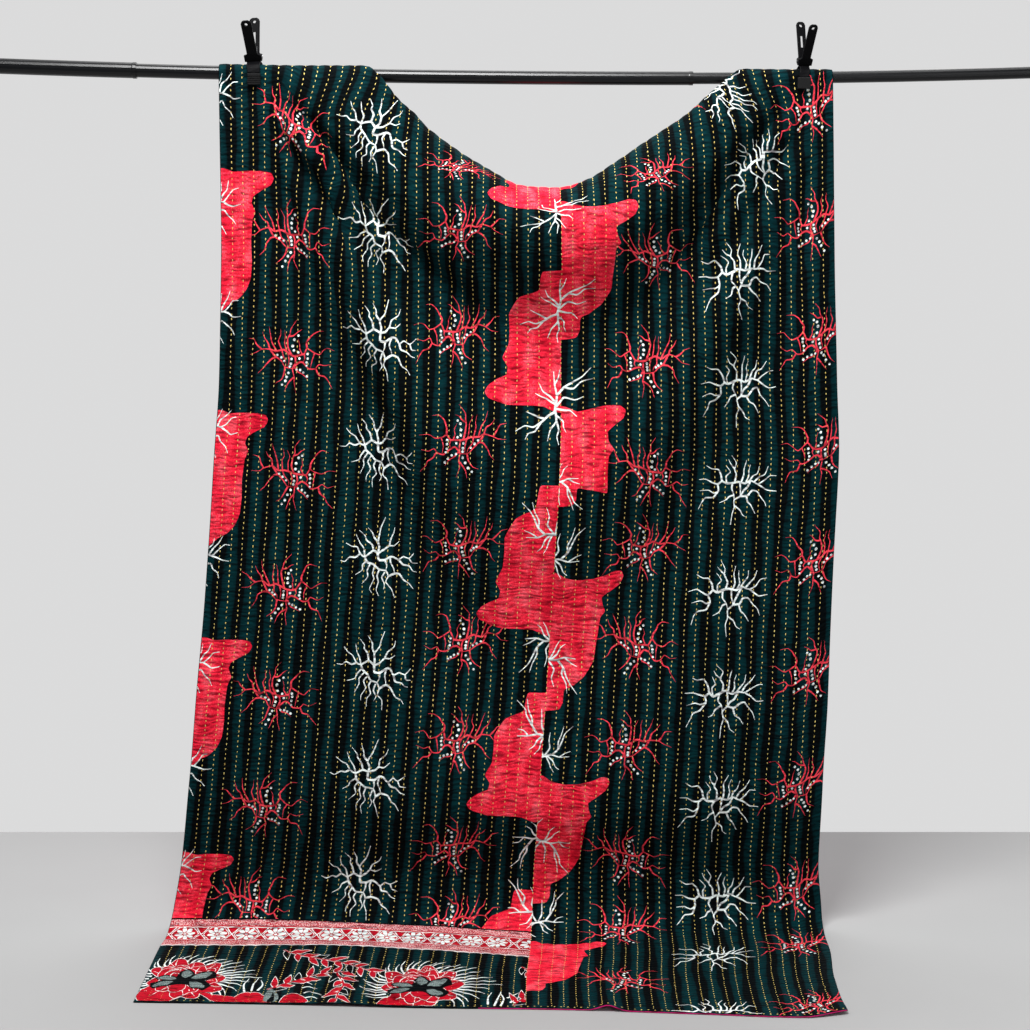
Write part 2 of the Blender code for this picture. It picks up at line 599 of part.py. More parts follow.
def build_spring(clamp, finish):
    """The torsion spring round the pivot pin, a leg along each handle."""
    name = f"{clamp['name']}_clamp_spring"
    pivot = np.array((0.0, PIVOT_HEIGHT))
    (front, out_front), (back, out_back) = handle_frame(-1), handle_frame(1)
    half = 0.5 * SPRING_TURNS * SPRING_PITCH
    start = math.atan2(out_front[1], out_front[0])
    end = math.atan2(out_back[1], out_back[0])
    sweep = 2 * math.pi * SPRING_TURNS + ((end - start) % (2 * math.pi))
    steps = 8 * SPRING_TURNS
    route = [(-half, *(pivot + out_front * SPRING_RADIUS + front * SPRING_LEG))]
    for k in range(steps + 1):
        a = start + sweep * k / steps
        out = np.array((math.cos(a), math.sin(a))) * SPRING_RADIUS
        route.append((-half + 2 * half * k / steps, *(pivot + out)))
    route.append((half, *(pivot + out_back * SPRING_RADIUS + back * SPRING_LEG)))
    curve = bpy.data.curves.new(name, "CURVE")
    curve.dimensions = "3D"
    curve.bevel_depth = 0.5 * SPRING_WIRE
    curve.bevel_resolution = 1
    curve.use_fill_caps = True
    spline = curve.splines.new("POLY")
    spline.points.add(len(route) - 1)
    for point, place in zip(spline.points, route):
        point.co = (*map(float, place), 1.0)
    wire = bpy.data.objects.new(name + "_wire", curve)
    bpy.context.scene.collection.objects.link(wire)
    bpy.context.view_layer.update()
    evaluated = wire.evaluated_get(bpy.context.evaluated_depsgraph_get())
    mesh = bpy.data.meshes.new_from_object(evaluated)
    bpy.data.objects.remove(wire)
    bm = bmesh.new()
    bm.from_mesh(mesh)
    bmesh.ops.remove_doubles(bm, verts=bm.verts, dist=1e-6)
    bm.to_mesh(mesh)
    bm.free()
    mesh.materials.clear()
    mesh.materials.append(finish)
    made = bpy.data.objects.new(name, mesh)
    bpy.context.scene.collection.objects.link(made)
    seat(made, clamp)


def build_cap(side, clamp, finish):
    """A jaw's rubber cap: a block with a pocket for the tongue, ribbed outside or plain."""
    place = {-1: "front", 1: "back"}[side]
    name = f"{clamp['name']}_clamp_{place}_cap"
    near = clamp["grip"] + CAP_GAP
    far = near + 2 * CAP_WALL + 2 * GAP + TONGUE_THICKNESS
    low, high = CAP_Z[side] - 0.5 * CAP_HEIGHT, CAP_Z[side] + 0.5 * CAP_HEIGHT
    edge = 0.0014
    outline = [(near, high - edge), (near, low + edge), (near + edge, low), (far - edge, low)]
    ribs = clamp["ribs"]
    pitch = (CAP_HEIGHT - 2 * edge) / max(1, 2 * ribs)
    for k in range(ribs):
        z = low + edge + 2 * k * pitch
        outline += [(far, z), (far, z + pitch)]
        outline += [(far - CAP_RIB_HEIGHT, z + 1.2 * pitch), (far - CAP_RIB_HEIGHT, z + 1.9 * pitch)]
    if not ribs:
        outline += [(far, low + edge), (far, high - edge)]
    outline += [(far - edge, high), (near + edge, high)]
    rings = [[(x, side * y, z) for y, z in outline] for x in (-0.5 * CAP_WIDTH, 0.5 * CAP_WIDTH)]
    cap = face_outward(make_object(name, *loft(rings), finish))
    y = tongue_y(clamp["grip"])
    half = (0.5 * TONGUE_WIDTH + GAP, 0.5 * TONGUE_THICKNESS + GAP)
    corners = ((-1, -1), (1, -1), (1, 1), (-1, 1))
    rings = []
    for z in (high - TONGUE_DEPTH - GAP, high + 0.002):
        rings.append([(half[0] * a, side * y + half[1] * b, z) for a, b in corners])
    pocket = face_outward(make_object(name + "_pocket", *loft(rings), finish))
    boolean(cap, pocket, "DIFFERENCE")
    seat(cap, clamp, turned=False)


def build_clamp(clamp, plastic, rubber, steel):
    """A spring clamp: two levers, pivot pin, spring, and a cap on each jaw."""
    for side in (-1, 1):
        build_lever(side, clamp, plastic)
        build_cap(side, clamp, rubber)
    pin = bar_along_x(PIN_RADIUS, 0.5 * clamp["ears"] + 0.0008, 16, (0.0, 0.0, PIVOT_HEIGHT))
    seat(make_object(f"{clamp['name']}_clamp_pivot_pin", *pin, steel), clamp)
    build_spring(clamp, steel)


def main():
    for old in list(bpy.data.objects):
        bpy.data.objects.remove(old)
    cloth = material("printed_cotton", (0.010, 0.045, 0.055), 0.9)
    paint = material("black_paint", (0.012, 0.012, 0.013), 0.3, 0.1)
    plastic = material("black_plastic", (0.015, 0.015, 0.016), 0.5)
    rubber = material("black_rubber", (0.020, 0.019, 0.019), 0.75)
    steel = material("spring_steel", (0.30, 0.29, 0.28), 0.35, 1.0)
    build_quilt(cloth)
    for tube in TUBES:
        build_tube(*tube, paint)
    for row in CLAMPS:
        build_clamp(dict(zip(CLAMP_COLUMNS, row)), plastic, rubber, steel)


main()
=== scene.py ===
"""Looks of a kantha quilt hung over a telescopic rod by two spring clamps.

The quilt is drawn as fine skins on the same sheet as the CAD solid: two printed panels and a
lining, with the turned edges, the print and every running stitch as pieces on them.
"""

import math

import bpy
import numpy as np
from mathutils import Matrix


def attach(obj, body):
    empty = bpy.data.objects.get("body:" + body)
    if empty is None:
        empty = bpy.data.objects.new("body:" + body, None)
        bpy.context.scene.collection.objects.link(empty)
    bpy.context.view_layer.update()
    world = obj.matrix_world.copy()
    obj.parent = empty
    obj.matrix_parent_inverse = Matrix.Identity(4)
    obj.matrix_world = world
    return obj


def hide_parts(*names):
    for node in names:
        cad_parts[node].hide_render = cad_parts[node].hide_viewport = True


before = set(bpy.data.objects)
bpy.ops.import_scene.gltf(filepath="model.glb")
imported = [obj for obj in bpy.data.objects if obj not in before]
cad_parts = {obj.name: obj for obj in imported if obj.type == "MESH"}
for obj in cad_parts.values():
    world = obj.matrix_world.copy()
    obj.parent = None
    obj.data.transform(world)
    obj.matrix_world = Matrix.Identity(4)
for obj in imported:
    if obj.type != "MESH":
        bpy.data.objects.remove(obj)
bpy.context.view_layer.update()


def put(name, data):
    """A new object in the scene."""
    made = bpy.data.objects.new(name, data)
    bpy.context.scene.collection.objects.link(made)
    return made


# ---- camera
# PHOTO is the photograph's width and height in pixels, and FOCAL the lens in the same pixels.
PHOTO = 1030
FOCAL = 2300.0
SENSOR = 36.0
CAMERA_TILT = math.radians(9.6)
CAMERA_HEIGHT = 1.729
CAMERA_DISTANCE = 4.83  # from the rod
ROD_Y = 0.2487

camera_data = bpy.data.cameras.new("camera")
camera_data.sensor_width = SENSOR
camera_data.lens = FOCAL / PHOTO * SENSOR
camera_data.clip_end = 60.0
camera = put("camera", camera_data)
camera.location = (0.0, ROD_Y - CAMERA_DISTANCE, CAMERA_HEIGHT)
camera.rotation_euler = (math.pi / 2 - CAMERA_TILT, 0.0, 0.0)
bpy.context.scene.camera = camera


def to_photo(points):
    """Photograph pixels and distance of points."""
    ahead = points[..., 1] - ROD_Y + CAMERA_DISTANCE
    above = points[..., 2] - CAMERA_HEIGHT
    depth = ahead * math.cos(CAMERA_TILT) - above * math.sin(CAMERA_TILT)
    up = ahead * math.sin(CAMERA_TILT) + above * math.cos(CAMERA_TILT)
    half = PHOTO / 2
    return half + FOCAL * points[..., 0] / depth, half - FOCAL * up / depth, depth


# ---- the sheet, as in the CAD
# In metres. u runs from 0 at the left edge to 1 at the right edge, and each table starts with
# the names of its columns.
QUILT_WIDTH = 1.42
CHANNELS = 56
SHEET_THICKNESS = 0.0024
CHANNEL_RISE = 0.0013
LYING = 0.5 * SHEET_THICKNESS  # height of the middle of the sheet where it lies on the floor
# The level in EDGES is the height. On the floor it goes on below 0, by how far the cloth lies in
# front of this y.
FLOOR_LEVEL_START = -0.10

EDGES = (
    ("level", "left_x", "right_x"),
    (-0.44, -0.764, 0.657),
    (-0.34, -0.762, 0.654),
    (-0.22, -0.76, 0.656),
    (-0.04, -0.757, 0.669),
    (0.04, -0.745, 0.668),
    (0.15, -0.725, 0.66),
    (0.33, -0.702, 0.662),
    (0.51, -0.683, 0.669),
    (0.73, -0.66, 0.673),
    (1.04, -0.634, 0.682),
    (1.2, -0.621, 0.675),
    (1.54, -0.609, 0.662),
    (1.86, -0.608, 0.652),
)
TOP = (
    ("u", "y", "z", "back_radius", "flap", "drawn_x"),
    (0, 0, 1.8537, 0.0162, 0.056, 0),
    (0.06, 0, 1.8518, 0.0162, 0.056, 0.004),
    (0.12, 0, 1.8502, 0.0166, 0.054, 0.018),
    (0.1607, 0, 1.8501, 0.0176, 0.038, 0.026),
    (0.1786, 0, 1.8503, 0.0182, 0.022, 0.029),
    (0.1964, 0, 1.8502, 0.0186, 0.008, 0.031),
    (0.2143, -0.014, 1.8492, 0.006, 0.006, 0.032),
    (0.2321, -0.0258, 1.8345, 0.0065, 0.008, 0.032),
    (0.25, -0.0255, 1.8125, 0.009, 0.024, 0.028),
    (0.2679, -0.023, 1.792, 0.014, 0.052, 0.021),
    (0.2857, -0.017, 1.776, 0.018, 0.078, 0.013),
    (0.31, -0.008, 1.756, 0.022, 0.108, 0.005),
    (0.34, 0, 1.721, 0.026, 0.145, 0),
    (0.38, 0.003, 1.683, 0.028, 0.185, 0),
    (0.44, 0.005, 1.636, 0.03, 0.22, 0),
    (0.49, 0.006, 1.605, 0.031, 0.238, 0),
    (0.55, 0.006, 1.6005, 0.031, 0.242, 0),
    (0.6, 0.006, 1.618, 0.031, 0.236, 0),
    (0.64, 0.005, 1.649, 0.03, 0.222, 0),
    (0.69, 0.004, 1.691, 0.028, 0.19, 0),
    (0.74, 0, 1.731, 0.025, 0.145, -0.001),
    (0.775, -0.008, 1.761, 0.021, 0.105, -0.004),
    (0.8036, -0.017, 1.789, 0.016, 0.066, -0.01),
    (0.8214, -0.0225, 1.803, 0.011, 0.04, -0.016),
    (0.8393, -0.024, 1.8165, 0.008, 0.02, -0.022),
    (0.8571, -0.0236, 1.8315, 0.006, 0.008, -0.027),
    (0.875, -0.0127, 1.8427, 0.0058, 0.006, -0.028),
    (0.8929, 0, 1.8433, 0.0168, 0.008, -0.029),
    (0.9107, 0, 1.843, 0.0163, 0.024, -0.027),
    (0.94, 0, 1.8422, 0.0151, 0.048, -0.016),
    (0.97, 0, 1.8421, 0.0145, 0.056, -0.005),
    (1, 0, 1.8424, 0.0142, 0.056, 0),
)
DRAWN_DEPTH = 0.11  # below the top, the cloth is drawn sideways by less and less over this depth
FOLDS = (
    ("u", "brow1_y", "brow1_z", "hollow1_y", "hollow1_z", "brow2_y", "brow2_z", "hollow2_y",
     "hollow2_z"),
    (0, -0.0162, 1.8375, -0.018, 1.77, -0.02, 1.68, -0.018, 1.55),
    (0.06, -0.0162, 1.8356, -0.018, 1.79, -0.019, 1.74, -0.018, 1.66),
    (0.14, -0.034, 1.78, -0.016, 1.74, -0.037, 1.68, -0.012, 1.505),
    (0.24, -0.058, 1.65, -0.014, 1.567, -0.054, 1.34, -0.01, 1.18),
    (0.34, -0.088, 1.57, -0.018, 1.412, -0.07, 1.1, -0.018, 0.786),
    (0.44, -0.103, 1.53, -0.024, 1.308, -0.078, 0.98, -0.03, 0.645),
    (0.54, -0.108, 1.512, -0.028, 1.277, -0.08, 0.95, -0.036, 0.6),
    (0.64, -0.101, 1.53, -0.024, 1.318, -0.074, 1.02, -0.032, 0.677),
    (0.74, -0.084, 1.6, -0.018, 1.443, -0.06, 1.17, -0.02, 0.905),
    (0.84, -0.056, 1.71, -0.014, 1.629, -0.044, 1.39, -0.014, 1.15),
    (0.9, -0.032, 1.774, -0.014, 1.73, -0.03, 1.6, -0.013, 1.37),
    (0.95, -0.0142, 1.8273, -0.016, 1.775, -0.018, 1.73, -0.016, 1.65),
    (1, -0.0142, 1.8282, -0.016, 1.76, -0.018, 1.66, -0.016, 1.52),
)
FOOT = (
    ("u", "belly_y", "belly_z", "neck_y", "neck_z", "hem_y"),
    (0, -0.036, 0.33, -0.012, 0.09, -0.457),
    (0.2, -0.048, 0.31, -0.016, 0.105, -0.468),
    (0.4, -0.062, 0.29, -0.022, 0.115, -0.486),
    (0.6, -0.064, 0.29, -0.024, 0.115, -0.496),
    (0.8, -0.054, 0.31, -0.018, 0.105, -0.52),
    (0.94, -0.042, 0.33, -0.014, 0.1, -0.537),
    (1, -0.038, 0.34, -0.012, 0.1, -0.518),
)
# The bend onto the floor is a cubic curve. Its first control point lies straight below the neck,
# at BEND_DROP of its height, and its second one on the floor, at BEND_TURN of BEND_REACH.
BEND_DROP, BEND_REACH, BEND_TURN = 0.70, 0.10, 0.2
# Depth, waves across, waves down per metre, and phase of each ripple of the hanging part.
RIPPLES = ((0.0030, 3.3, 1.1, 0.10), (0.0022, 5.7, 2.3, 0.45), (0.0016, 9.1, 3.7, 0.80))
RIPPLE_FOOT, RIPPLE_FOOT_FADE = 0.12, 0.5  # they set in above this height
RIPPLE_TOP, RIPPLE_TOP_FADE = 1.72, 0.3  # and are gone again at this one
# Places along the hem that stand off the floor: u, height, half width, half length.
HEM_LIFTS = ((0.668, 0.011, 0.016, 0.045), (1.0, 0.007, 0.040, 0.060), (0.3, 0.004, 0.060, 0.080))
LIFTED_BELOW = 0.02  # only the cloth below this height is lifted
FLAP_CROWDING = 1.35  # the rows of the flap behind the rod lie closer near the top
# Drape folds in the looks only: from and to, in pixels, the half width in pixels, and the height
# in metres. The ridge lies on the side towards the swag, the hollow on the other. Each fold
# rises over DRAPE_START of its length and dies out over DRAPE_END of it.
DRAPE = (
    (262, 100, 440, 330, 16, 0.0185),
    (262, 112, 372, 430, 13, 0.0090),
    (330, 170, 520, 330, 11, 0.0070),
    (804, 100, 676, 320, 15, 0.0165),
    (812, 120, 762, 400, 11, 0.0060),
    (764, 160, 604, 330, 10, 0.0065),
)
DRAPE_START, DRAPE_END = 0.25, 0.45

# Rows of the skins along the path. Those of the body, below the first brow, are then spaced
# evenly.
FLAP_ROWS, TURN_ROWS, FOLD_ROWS, HANG_ROWS = 16, 20, 60, 150
NECK_ROWS, BEND_ROWS, FLOOR_ROWS = 30, 60, 60
BODY_ROWS = 700
FIRST_DRAPED_ROW = FLAP_ROWS + TURN_ROWS + 4
LAST_ROW = FLAP_ROWS + TURN_ROWS + BODY_ROWS
# Columns of the skins: PER_CHANNEL for each channel. They are also the measure across the cloth
# in all of the print.
PER_CHANNEL = 4
NODES = CHANNELS * PER_CHANNEL + 1
SEAM = 31 * PER_CHANNEL  # the column of the seam between the two printed panels
NODE_WIDTH = QUILT_WIDTH / (NODES - 1)


def smooth(xs, ys, x):
    """Reads a table column at x along a smooth curve that doesn't overshoot its points."""
    step = np.diff(xs)
    rise = np.diff(ys) / step
    slope = np.zeros(len(xs))
    same = rise[:-1] * rise[1:] > 0
    total = np.where(same, rise[:-1] + rise[1:], 1.0)
    slope[1:-1] = np.where(same, 2 * rise[:-1] * rise[1:] / total, 0.0)
    slope[0], slope[-1] = rise[0], rise[-1]
    i = np.clip(np.searchsorted(xs, x, side="right") - 1, 0, len(xs) - 2)
    t = np.clip((x - xs[i]) / step[i], 0.0, 1.0)
    return (
        (1 + 2 * t) * (1 - t) ** 2 * ys[i]
        + t * (1 - t) ** 2 * step[i] * slope[i]
        + t * t * (3 - 2 * t) * ys[i + 1]
        + t * t * (t - 1) * step[i] * slope[i + 1]
    )


def read(table, wanted, x):
    """A column of a table at x, which is read against the table's first column."""
    names, rows = table[0], np.array(table[1:], float)
    return smooth(rows[:, 0], rows[:, names.index(wanted)], x)


def ease(t):
    return t * t * (3 - 2 * t)


def fade(value, start, length):
    """From 0 at start, smoothly, to 1 at length beyond it. A negative length turns it round."""
    return ease(np.clip((value - start) / length, 0, 1))


STOPS = (
    (FOLDS, "hollow1", FOLD_ROWS), (FOLDS, "brow2", FOLD_ROWS), (FOLDS, "hollow2", FOLD_ROWS),
    (FOOT, "belly", HANG_ROWS), (FOOT, "neck", NECK_ROWS),
)


def sheet_path(u):
    """The middle of the sheet along each line u, from the top end to the hem: y and z."""
    top_y, top_z, radius, flap = (read(TOP, name, u) for name in ("y", "z", "back_radius", "flap"))
    quarter = 0.5 * math.pi * radius
    ys, zs = [], []
    for k in range(FLAP_ROWS, -1, -1):
        run = flap * (k / FLAP_ROWS) ** FLAP_CROWDING
        angle = np.minimum(run, quarter) / radius
        ys.append(top_y + radius * np.sin(angle))
        zs.append(top_z - radius * (1 - np.cos(angle)) - np.maximum(run - quarter, 0.0))
    brow_y, brow_z = read(FOLDS, "brow1_y", u), read(FOLDS, "brow1_z", u)
    for k in range(1, TURN_ROWS + 1):
        angle = 0.5 * math.pi * k / TURN_ROWS
        ys.append(top_y + (brow_y - top_y) * math.sin(angle))
        zs.append(brow_z + (top_z - brow_z) * math.cos(angle))
    for table, stop, count in STOPS:
        from_y, from_z = ys[-1], zs[-1]
        to_y, to_z = read(table, stop + "_y", u), read(table, stop + "_z", u)
        for k in range(1, count + 1):
            t = k / count
            ys.append(from_y + (to_y - from_y) * ease(t))
            zs.append(from_z + (to_z - from_z) * t)
    neck_y, neck_z = ys[-1], zs[-1]
    drop_z = neck_z - BEND_DROP * (neck_z - LYING)
    turn_y = neck_y - BEND_TURN * BEND_REACH
    flat_y = neck_y - BEND_REACH
    for k in range(1, BEND_ROWS + 1):
        t = k / BEND_ROWS
        hang, turn_in = (1 - t) ** 3, 3 * t * (1 - t) ** 2
        turn_out, land = 3 * t * t * (1 - t), t**3
        ys.append(hang * neck_y + turn_in * neck_y + turn_out * turn_y + land * flat_y)
        zs.append(hang * neck_z + turn_in * drop_z + (turn_out + land) * LYING)
    hem_y = read(FOOT, "hem_y", u)
    for k in range(1, FLOOR_ROWS + 1):
        t = k / FLOOR_ROWS
        ys.append(flat_y + (hem_y - flat_y) * t)
        zs.append(np.full_like(u, LYING))
    return np.array(ys), np.array(zs)


def sheet_points(u):
    """The middle of the sheet as a grid of points, one row for each step of the path."""
    y, z = sheet_path(u)
    hem_y = read(FOOT, "hem_y", u)
    for lift_u, height, half_width, half_length in HEM_LIFTS:
        across = np.exp(-(((u - lift_u) / half_width) ** 2))
        back = np.exp(-(((y - hem_y) / half_length) ** 2)) * (z < LIFTED_BELOW)
        z = z + height * across * back
    hanging = fade(z, RIPPLE_FOOT, RIPPLE_FOOT_FADE) * fade(z, RIPPLE_TOP, -RIPPLE_TOP_FADE)
    front = (np.arange(len(y))[:, None] > FLAP_ROWS).astype(float)
    for depth, across, down, phase in RIPPLES:
        y = y + depth * hanging * front * np.sin(2 * math.pi * (across * u + down * z + phase))
    level = z + np.minimum(0.0, y - FLOOR_LEVEL_START)
    left, right = read(EDGES, "left_x", level), read(EDGES, "right_x", level)
    below = read(TOP, "z", u) - z
    drawn = read(TOP, "drawn_x", u) * (1 - fade(below, 0, DRAWN_DEPTH))
    x = left + (right - left) * u + drawn
    return np.stack([x, y + ROD_Y, z], axis=-1)


def unit(vectors):
    return vectors / np.linalg.norm(vectors, axis=-1, keepdims=True)


def normals_of(grid):
    """Normals of a grid of points, towards the printed face."""
    return unit(np.cross(np.gradient(grid, axis=0), np.gradient(grid, axis=1)))


def evenly(grid, first, count):
    """The grid with its rows from first on spaced evenly along each column."""
    body = grid[first:]
    run = np.linalg.norm(np.diff(body, axis=0), axis=-1)
    run = np.concatenate([np.zeros((1, grid.shape[1])), np.cumsum(run, axis=0)])
    even = np.empty((count + 1, grid.shape[1], 3))
    for c in range(grid.shape[1]):
        wanted = np.linspace(0, run[-1, c], count + 1)
        for k in range(3):
            even[:, c, k] = np.interp(wanted, run[:, c], body[:, c, k])
    return np.concatenate([grid[:first], even])


def noise(seed, across, along, cell_across, cell_along):
    """Smooth random heights from -1 to 1 at places across and along the cloth, in metres."""
    random = np.random.RandomState(seed)
    x, y = across / cell_across, along / cell_along
    grid = random.uniform(-1, 1, (int(np.max(y)) + 3, int(np.max(x)) + 3))
    i, j = np.floor(y).astype(int), np.floor(x).astype(int)
    fy, fx = ease(y - i), ease(x - j)
    return (
        grid[i, j] * (1 - fy) * (1 - fx)
        + grid[i + 1, j] * fy * (1 - fx)
        + grid[i, j + 1] * (1 - fy) * fx
        + grid[i + 1, j + 1] * fy * fx
    )


def drape(middle, normal):
    """The sheet with the folds that run down from the clamps."""
    px, py, _ = to_photo(middle)
    height = np.zeros(px.shape)
    for x0, y0, x1, y1, half, rise in DRAPE:
        right, down = x1 - x0, y1 - y0
        length = math.hypot(right, down)
        along = ((px - x0) * right + (py - y0) * down) / length**2
        aside = ((px - x0) * down - (py - y0) * right) / length * (1 if right > 0 else -1)
        ends = fade(along, 0, DRAPE_START) * fade(along, 1, -DRAPE_END)
        spread = half * (0.7 + 0.7 * np.clip(along, 0, 1))
        ridge = np.exp(-(((aside - 0.6 * spread) / spread) ** 2))
        hollow = np.exp(-(((aside + 0.7 * spread) / (0.8 * spread)) ** 2))
        height += rise * ends * (ridge - hollow)
    height[:FIRST_DRAPED_ROW] = 0.0
    return middle + normal * height[..., None]


PILLOW = (0.0, 0.74, 1.0, 0.74)  # a channel's height at its columns, as shares of CHANNEL_RISE
UNEVEN, UNEVEN_CELL = 0.35, (0.0254, 0.020)  # how that differs from place to place
EDGE_FADE, EDGE_SHARE = 0.012, 0.3  # near the edges the channels sink to a share of their height
# Seed, height, and the cells across and along of each layer of puckers. They start below the rod.
PUCKERS = ((5, 0.0007, 0.030, 0.0145), (6, 0.00045, 0.040, 0.0056))
PUCKERS_BELOW, PUCKERS_FADE = 1.80, 0.10
# How a place on the cloth is found: square of a distance in pixels, steps, nodes in each step.
NEAR_PIXEL, FIND_STEPS, FIND_REACH = 6.0, 12, 3


class Cloth:
    """The printed face as a grid of nodes, with the flat place of each."""

    def __init__(self):
        u = np.linspace(0, 1, NODES)
        self.middle = evenly(sheet_points(u), FLAP_ROWS + TURN_ROWS, BODY_ROWS)
        self.middle = drape(self.middle, normals_of(self.middle))
        self.normal = normals_of(self.middle)
        step = np.linalg.norm(np.diff(self.middle, axis=0), axis=-1)
        self.from_hem = np.concatenate([np.cumsum(step[::-1], axis=0)[::-1], np.zeros((1, NODES))])
        self.across = np.broadcast_to(u * QUILT_WIDTH, self.from_hem.shape)

        pillow = np.array(PILLOW)[np.arange(NODES) % PER_CHANNEL]
        pillow[0] = pillow[-1] = 0.0
        uneven = 1 + UNEVEN * self.noise(3, *UNEVEN_CELL)
        height = CHANNEL_RISE * pillow[None, :] * uneven
        inside = fade(np.minimum(self.across, QUILT_WIDTH - self.across), 0, EDGE_FADE)
        inside = inside * fade(self.from_hem, 0, EDGE_FADE)
        puckers = sum(rise * self.noise(seed, *cell) for seed, rise, *cell in PUCKERS)
        loose = fade(self.middle[..., 2], PUCKERS_BELOW, -PUCKERS_FADE)
        self.front = self.middle + self.normal * (
            0.5 * SHEET_THICKNESS
            + height * (EDGE_SHARE + (1 - EDGE_SHARE) * inside)
            + puckers * loose * inside
        )[..., None]
        self.front_normal = normals_of(self.front)
        self.pixel_x, self.pixel_y, self.depth = to_photo(self.front)

    def noise(self, seed, cell_across, cell_along):
        return noise(seed, self.across, self.from_hem, cell_across, cell_along)

    def row_of(self, node, from_hem):
        """The row, with its fraction, that lies from_hem from the hem in each whole column."""
        rows = np.empty(len(node))
        order = np.arange(self.from_hem.shape[0], dtype=float)
        for c in np.unique(node):
            here = node == c
            rows[here] = np.interp(-from_hem[here], -self.from_hem[:, c], order)
        return rows

    def at(self, node, from_hem, lift):
        """Points on the printed face at columns (with fractions) and distances from the hem."""
        node = np.clip(np.asarray(node, float), 0, NODES - 1)
        from_hem = np.asarray(from_hem, float)
        left = np.minimum(np.floor(node).astype(int), NODES - 2)
        part = node - left
        row = (1 - part) * self.row_of(left, from_hem) + part * self.row_of(left + 1, from_hem)
        top = np.clip(np.floor(row).astype(int), 0, self.front.shape[0] - 2)
        down = (row - top)[:, None]
        part = part[:, None]

        def mixed(field):
            upper = field[top, left] * (1 - part) + field[top, left + 1] * part
            lower = field[top + 1, left] * (1 - part) + field[top + 1, left + 1] * part
            return upper * (1 - down) + lower * down

        normal = unit(mixed(self.front_normal))
        return mixed(self.front) + normal * np.asarray(lift, float).reshape(-1, 1)

    def find(self, px, py):
        """The column and the distance from the hem of the nearest visible place to a pixel.

        It starts from the front one of the places near the pixel and walks to the closest.
        """
        away = (self.pixel_x - px) ** 2 + (self.pixel_y - py) ** 2
        near = away < away.min() + NEAR_PIXEL
        depth = np.where(near, self.depth, np.inf)
        r, c = np.unravel_index(np.argmin(depth), away.shape)
        for _ in range(FIND_STEPS):
            top, left = max(r - FIND_REACH, 0), max(c - FIND_REACH, 0)
            window = away[top:r + FIND_REACH + 1, left:c + FIND_REACH + 1]
            step = np.unravel_index(np.argmin(window), window.shape)
            moved = (top + step[0], left + step[1])
            if moved == (r, c):
                break
            r, c = moved
        return float(c), float(self.from_hem[r, c])


cloth = Cloth()

# ---- mesh helpers
STITCH_PITCH = 0.0112  # distance between stitches along a line


def line_start(line):
    """Where a line of stitches starts, as a share of the pitch."""
    return (line * 0.381966 + 0.13 * np.sin(line * 1.7)) % 1.0


def cloth_piece(name, points, faces, finish, flat):
    """A piece of the quilt. flat is each point's column and distance from the hem."""
    mesh = bpy.data.meshes.new(name)
    mesh.from_pydata(np.asarray(points, float).tolist(), [], faces)
    mesh.materials.append(finish)
    add_flat_maps(mesh, np.asarray(flat, float))
    mesh.shade_smooth()
    return put(name, mesh)


def add_flat_maps(mesh, flat):
    """UV maps of the cloth laid flat: metres, and stitch lines against stitches."""
    corners = np.empty(len(mesh.loops), np.int32)
    mesh.loops.foreach_get("vertex_index", corners)
    totals = np.empty(len(mesh.polygons), np.int32)
    mesh.polygons.foreach_get("loop_total", totals)
    face_of = np.repeat(np.arange(len(totals)), totals)
    node, from_hem = flat[corners].T
    middle = np.bincount(face_of, node, len(totals)) / totals
    line = np.round(middle / PER_CHANNEL)[face_of]
    sewn = (node / PER_CHANNEL, from_hem / STITCH_PITCH - line_start(line))
    for name, pair in (("flat", (node * NODE_WIDTH, from_hem)), ("sewn", sewn)):
        layer = mesh.uv_layers.new(name=name)
        layer.data.foreach_set("uv", np.stack(pair, -1).astype(np.float32).ravel())
    mesh.uv_layers.active = mesh.uv_layers["flat"]


def turning(a, b, c):
    """Twice the area of a triangle, which is negative where it runs clockwise."""
    return (b[0] - a[0]) * (c[1] - a[1]) - (b[1] - a[1]) * (c[0] - a[0])


class Print:
    """Flat shapes laid on the printed face, kept as places on the cloth until they are made."""

    def __init__(self, name, finish):
        self.name, self.finish = name, finish
        self.node, self.from_hem, self.lift, self.faces = [], [], [], []

    def add(self, node, from_hem, lift, faces):
        first = len(self.node)
        self.node.extend(node)
        self.from_hem.extend(from_hem)
        self.lift.extend([lift] * len(node))
        self.faces.extend(tuple(first + k for k in face) for face in faces)

    def make(self):
        points = cloth.at(self.node, self.from_hem, self.lift)
        flat = np.stack([self.node, self.from_hem], -1)
        faces = []
        for face in self.faces:
            turn = turning(*flat[list(face[:3])])
            if len(face) == 4 and abs(turn) < 1e-12:
                turn = turning(flat[face[0]], flat[face[2]], flat[face[3]])
            faces.append(face if turn > 0 else face[::-1])
        return cloth_piece(self.name, points, faces, self.finish, flat)


# ---- shapes of the print
LEFT, RIGHT = (0.0, float(SEAM)), (float(SEAM), float(NODES - 1))
BOTH = (0.0, float(NODES - 1))
PRINT_END = 0.004  # the print stops this far from the hem
CROOKED = 0.34  # how far a line of the print rounds its bends: 0 not at all, 0.5 fully
LINE_SPACING = 3.4
ROW_CELL = 0.0029  # filled shapes are cut into cells this long and one column wide


